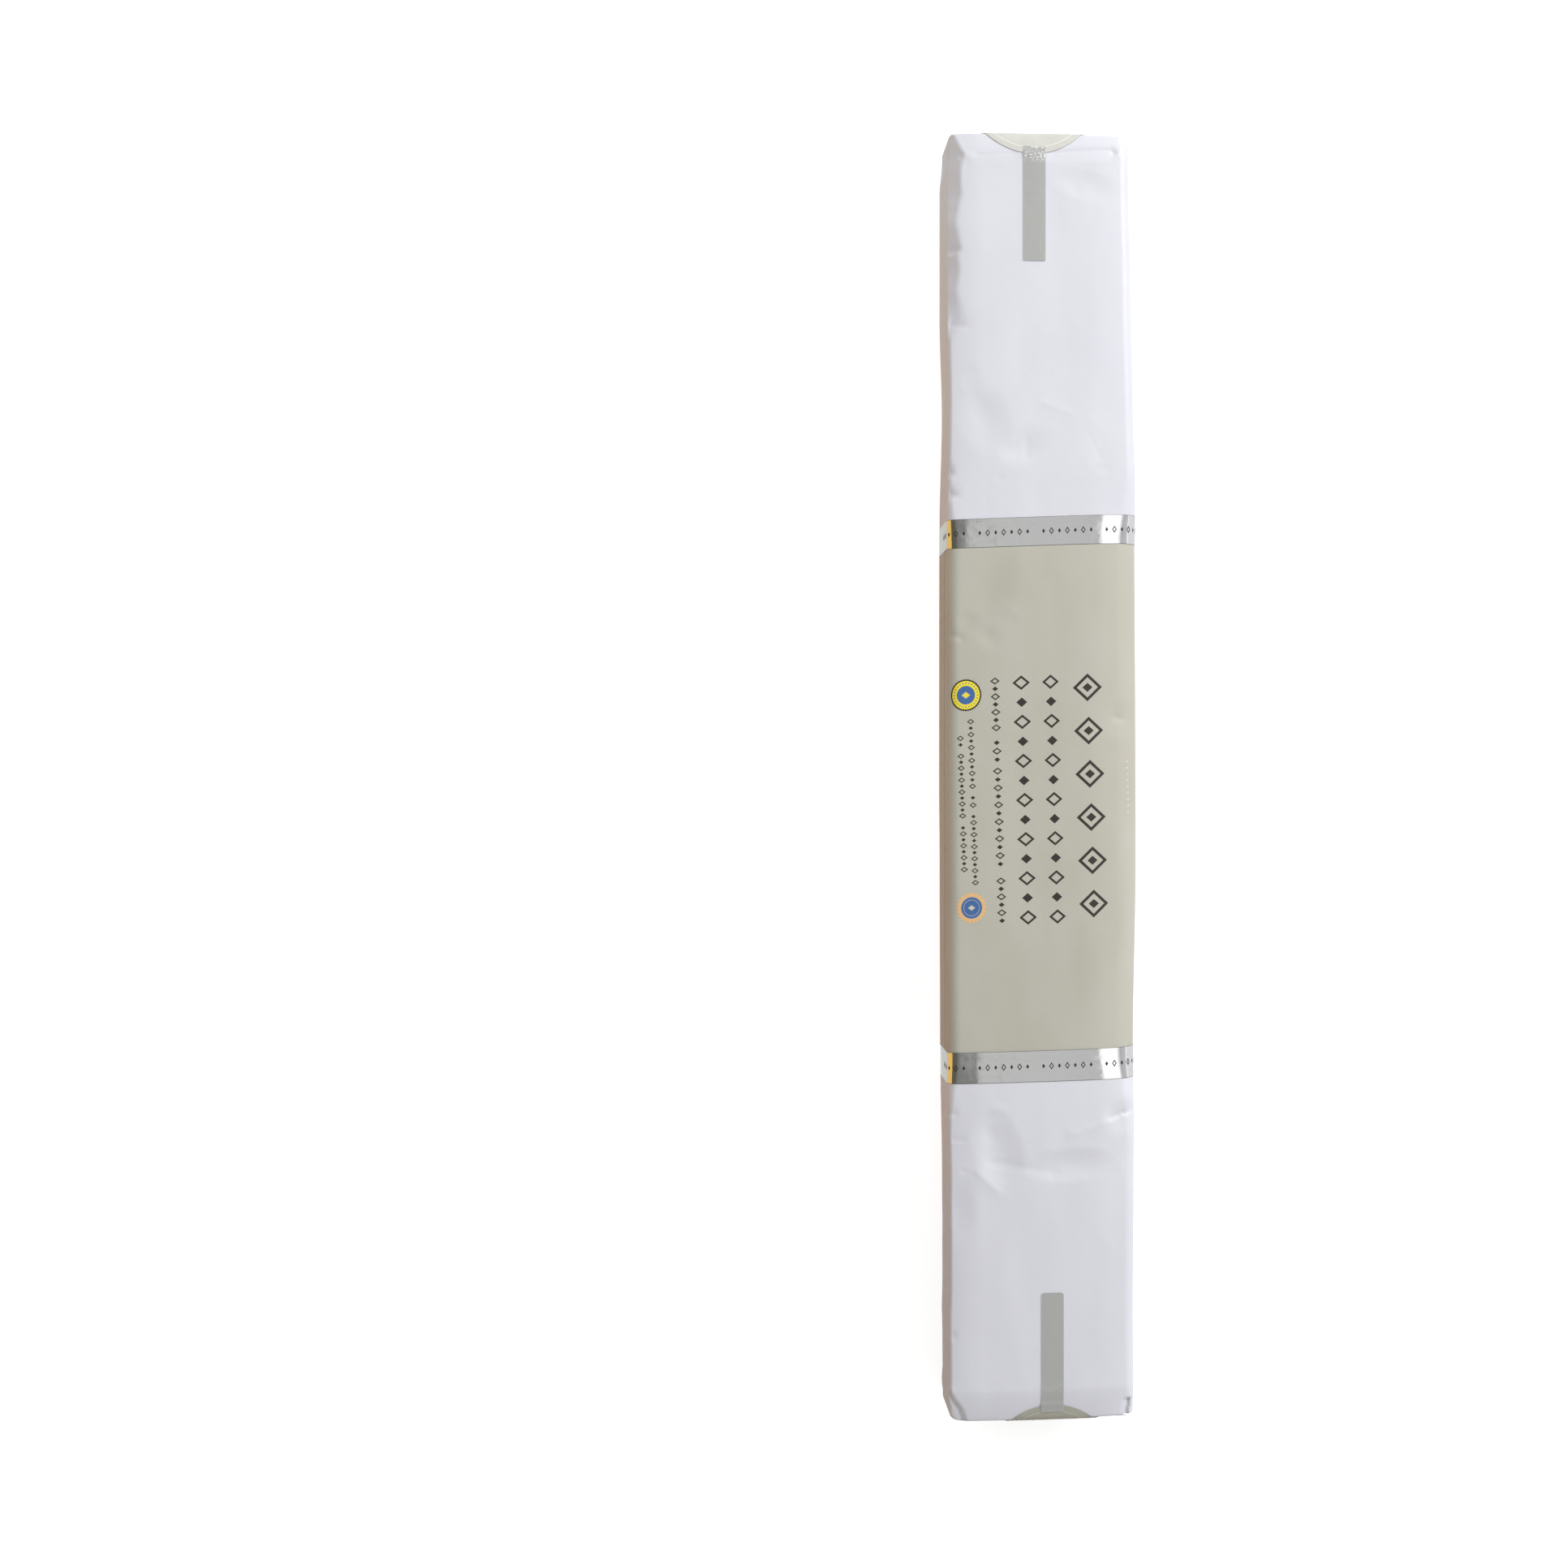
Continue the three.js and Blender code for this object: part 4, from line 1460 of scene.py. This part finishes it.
# The soft surround by the sideways part of the direction: place from -1, left, to 1, right, and its tone
SURROUND = [
    (-1.00, (0.14, 0.11, 0.06)),
    (-0.60, (0.12, 0.12, 0.10)),
    (-0.30, (0.20, 0.20, 0.19)),
    (-0.040, (0.25, 0.25, 0.24)),
    (-0.024, (0.32, 0.32, 0.31)),
    (-0.010, (0.62, 0.62, 0.61)),
    (0.38, (0.57, 0.57, 0.57)),
    (0.41, (0.42, 0.42, 0.42)),
    (0.44, (1.45, 1.45, 1.45)),
    (0.68, (1.25, 1.25, 1.25)),
    (0.86, (0.50, 0.50, 0.52)),
    (1.00, (0.60, 0.60, 0.62)),
]


def photo_camera():
    """The camera, looking straight down."""
    data = bpy.data.cameras.new("camera_above")
    data.lens = CAMERA_LENS
    data.sensor_width = CAMERA_SENSOR
    data.clip_start = CAMERA_CLIP
    camera = bpy.data.objects.new("camera_above", data)
    camera.location = Vector(CAMERA_AT) * MM
    bpy.context.scene.collection.objects.link(camera)
    bpy.context.scene.camera = camera


def pale_floor():
    """A white floor that also glows a little, as on a light table, so that its shadows stay faint."""
    floor = bmesh.new()
    bmesh.ops.create_grid(floor, x_segments=8, y_segments=8, size=FLOOR_REACH)
    finish = Finish("floor_white", roughness=0.85, specular_ior_level=0.1)
    tone = finish.between(finish.noise(FLOOR_CLOUD_SIZE, 2.0), 0.3, 0.7)
    finish.colour(finish.blend(tone, (0.44, 0.44, 0.44), (0.46, 0.46, 0.46)))
    finish.shader.inputs["Emission Color"].default_value = WHITE
    finish.shader.inputs["Emission Strength"].default_value = FLOOR_GLOW
    piece = put_in_scene("floor", floor, finish.material)
    piece.visible_diffuse = False
    piece.visible_shadow = False


def bounce_floor():
    """A glowing sheet under the floor that only soft light sees: amber to the left, white to the right."""
    sheet = bmesh.new()
    bmesh.ops.create_grid(sheet, x_segments=8, y_segments=8, size=BOUNCE_REACH)
    bmesh.ops.translate(sheet, vec=(0.0, 0.0, -BOUNCE_DEPTH), verts=sheet.verts)
    finish = Finish("bounce_floor", roughness=1.0)
    parts = finish.node("ShaderNodeSeparateXYZ", {"Vector": finish.places.outputs["Object"]})
    to_left = finish.between(parts.outputs["X"], *BOUNCE_ACROSS, 1.0, 0.0)
    to_head = finish.between(parts.outputs["Y"], *BOUNCE_TURNS)
    to_foot = finish.between(parts.outputs["Y"], -BOUNCE_TURNS[1], -BOUNCE_TURNS[0], 1.0, 0.0)
    to_tip = finish.between(parts.outputs["Y"], *BOUNCE_TIP)
    left = finish.blend(to_foot, finish.blend(to_head, BOUNCE_MIDDLE, BOUNCE_HEAD), BOUNCE_FOOT)
    left = finish.blend(to_tip, left, BOUNCE_CORNER)
    glow = finish.blend(to_left, BOUNCE_RIGHT, left)
    finish.shader.inputs["Base Color"].default_value = BLACK
    finish.tree.links.new(glow, finish.shader.inputs["Emission Color"])
    finish.shader.inputs["Emission Strength"].default_value = 1.0
    piece = put_in_scene("bounce_floor", sheet, finish.material)
    piece.visible_camera = False
    piece.visible_glossy = False


def reflected_card(name, reach, height, tone):
    """A card on the floor that only reflections see. Its left edge may be turned up."""
    start, end = reach
    middle = (start + end) / 2
    card = bmesh.new()
    bmesh.ops.create_grid(card, x_segments=1, y_segments=1, size=0.5)
    bmesh.ops.scale(card, vec=Vector((end - start, CARD_LENGTH, 1.0)), verts=card.verts)
    bmesh.ops.translate(card, vec=Vector((middle, 0.0, CARD_LIFT)), verts=card.verts)
    if height:
        outer = [edge for edge in card.edges if all(vert.co.x < middle for vert in edge.verts)]
        made = bmesh.ops.extrude_edge_only(card, edges=outer)["geom"]
        risen = [part for part in made if isinstance(part, bmesh.types.BMVert)]
        bmesh.ops.translate(card, vec=Vector((0.0, 0.0, height)), verts=risen)
    finish = Finish(name, roughness=1.0)
    finish.shader.inputs["Base Color"].default_value = BLACK
    finish.shader.inputs["Emission Color"].default_value = (*tone, 1.0)
    finish.shader.inputs["Emission Strength"].default_value = 1.0
    piece = put_in_scene(name, card, finish.material)
    piece.visible_camera = False
    piece.visible_diffuse = False
    piece.visible_shadow = False


def area_light(name, at, size, power, tint, glossy):
    """A soft square light that looks at the middle of the packet."""
    data = bpy.data.lights.new(name, "AREA")
    data.shape = "SQUARE"
    data.size = size
    data.energy = power
    data.color = tint
    light = bpy.data.objects.new(name, data)
    light.location = at
    way = Vector(LIGHTS_LOOK_AT) - Vector(at)
    light.rotation_euler = way.to_track_quat("-Z", "Y").to_euler()
    light.visible_camera = False
    light.visible_glossy = glossy
    bpy.context.scene.collection.objects.link(light)


def soft_surround():
    """The light from all round, by its sideways direction alone, so that the foil shows it as bars."""
    world = bpy.data.worlds.new("soft_surround")
    world.use_nodes = True
    bpy.context.scene.world = world
    tree = world.node_tree
    background = tree.nodes["Background"]
    place = tree.nodes.new("ShaderNodeTexCoord")
    parts = tree.nodes.new("ShaderNodeSeparateXYZ")
    share = tree.nodes.new("ShaderNodeMapRange")
    share.inputs["From Min"].default_value = -1.0
    ramp = tree.nodes.new("ShaderNodeValToRGB")
    stops = ramp.color_ramp.elements
    while len(stops) < len(SURROUND):
        stops.new(0.5)
    for stop, (at, tone) in zip(stops, SURROUND):
        stop.position = (at + 1.0) / 2
        stop.color = (*tone, 1.0)
    tree.links.new(place.outputs["Generated"], parts.inputs["Vector"])
    tree.links.new(parts.outputs["X"], share.inputs["Value"])
    tree.links.new(share.outputs["Result"], ramp.inputs["Fac"])
    tree.links.new(ramp.outputs["Color"], background.inputs["Color"])


def studio():
    soft_surround()
    for name, light in LIGHTS.items():
        area_light(name, *light)
    bounce_floor()
    for name, card in CARDS.items():
        reflected_card(name, *card)
    bpy.context.scene.view_settings.view_transform = "Standard"


# ---- The whole packet ----

photo_camera()
pale_floor()
studio()

paper = white_wrapping_paper()
foil = silver_foil()
# One disc paper in two tones. The head's is lighter and the foot's darker, as painted light and painted shade
# for the brighter head end and the shaded foot end.
disc_papers = {
    "head": seal_disc_paper("seal_disc_paper_painted_lit", (0.545, 0.54, 0.505), (0.505, 0.50, 0.465)),
    "foot": seal_disc_paper("seal_disc_paper_dark", (0.37, 0.36, 0.305), (0.34, 0.33, 0.28)),
}
strip_foil = silver_strip()
inks = {name: print_ink(name) for name in INKS}

wrapping_paper(paper)
label_wrap(label_paper())
label_print(inks)
foil_band("foil_band_head", HEAD_FOIL, foil)
foil_band("foil_band_foot", FOOT_FOIL, foil)
foil_print("foil_print_head", HEAD_FOIL, inks["dark"])
foil_print("foil_print_foot", FOOT_FOIL, inks["dark"])
for end in (HEAD, FOOT):
    for side in ("front", "back"):
        end_flap(end, side, paper)
        seal_strip(end, side, strip_foil)
    back_lap(end, paper)
    seal_disc(end, disc_papers[end.name])
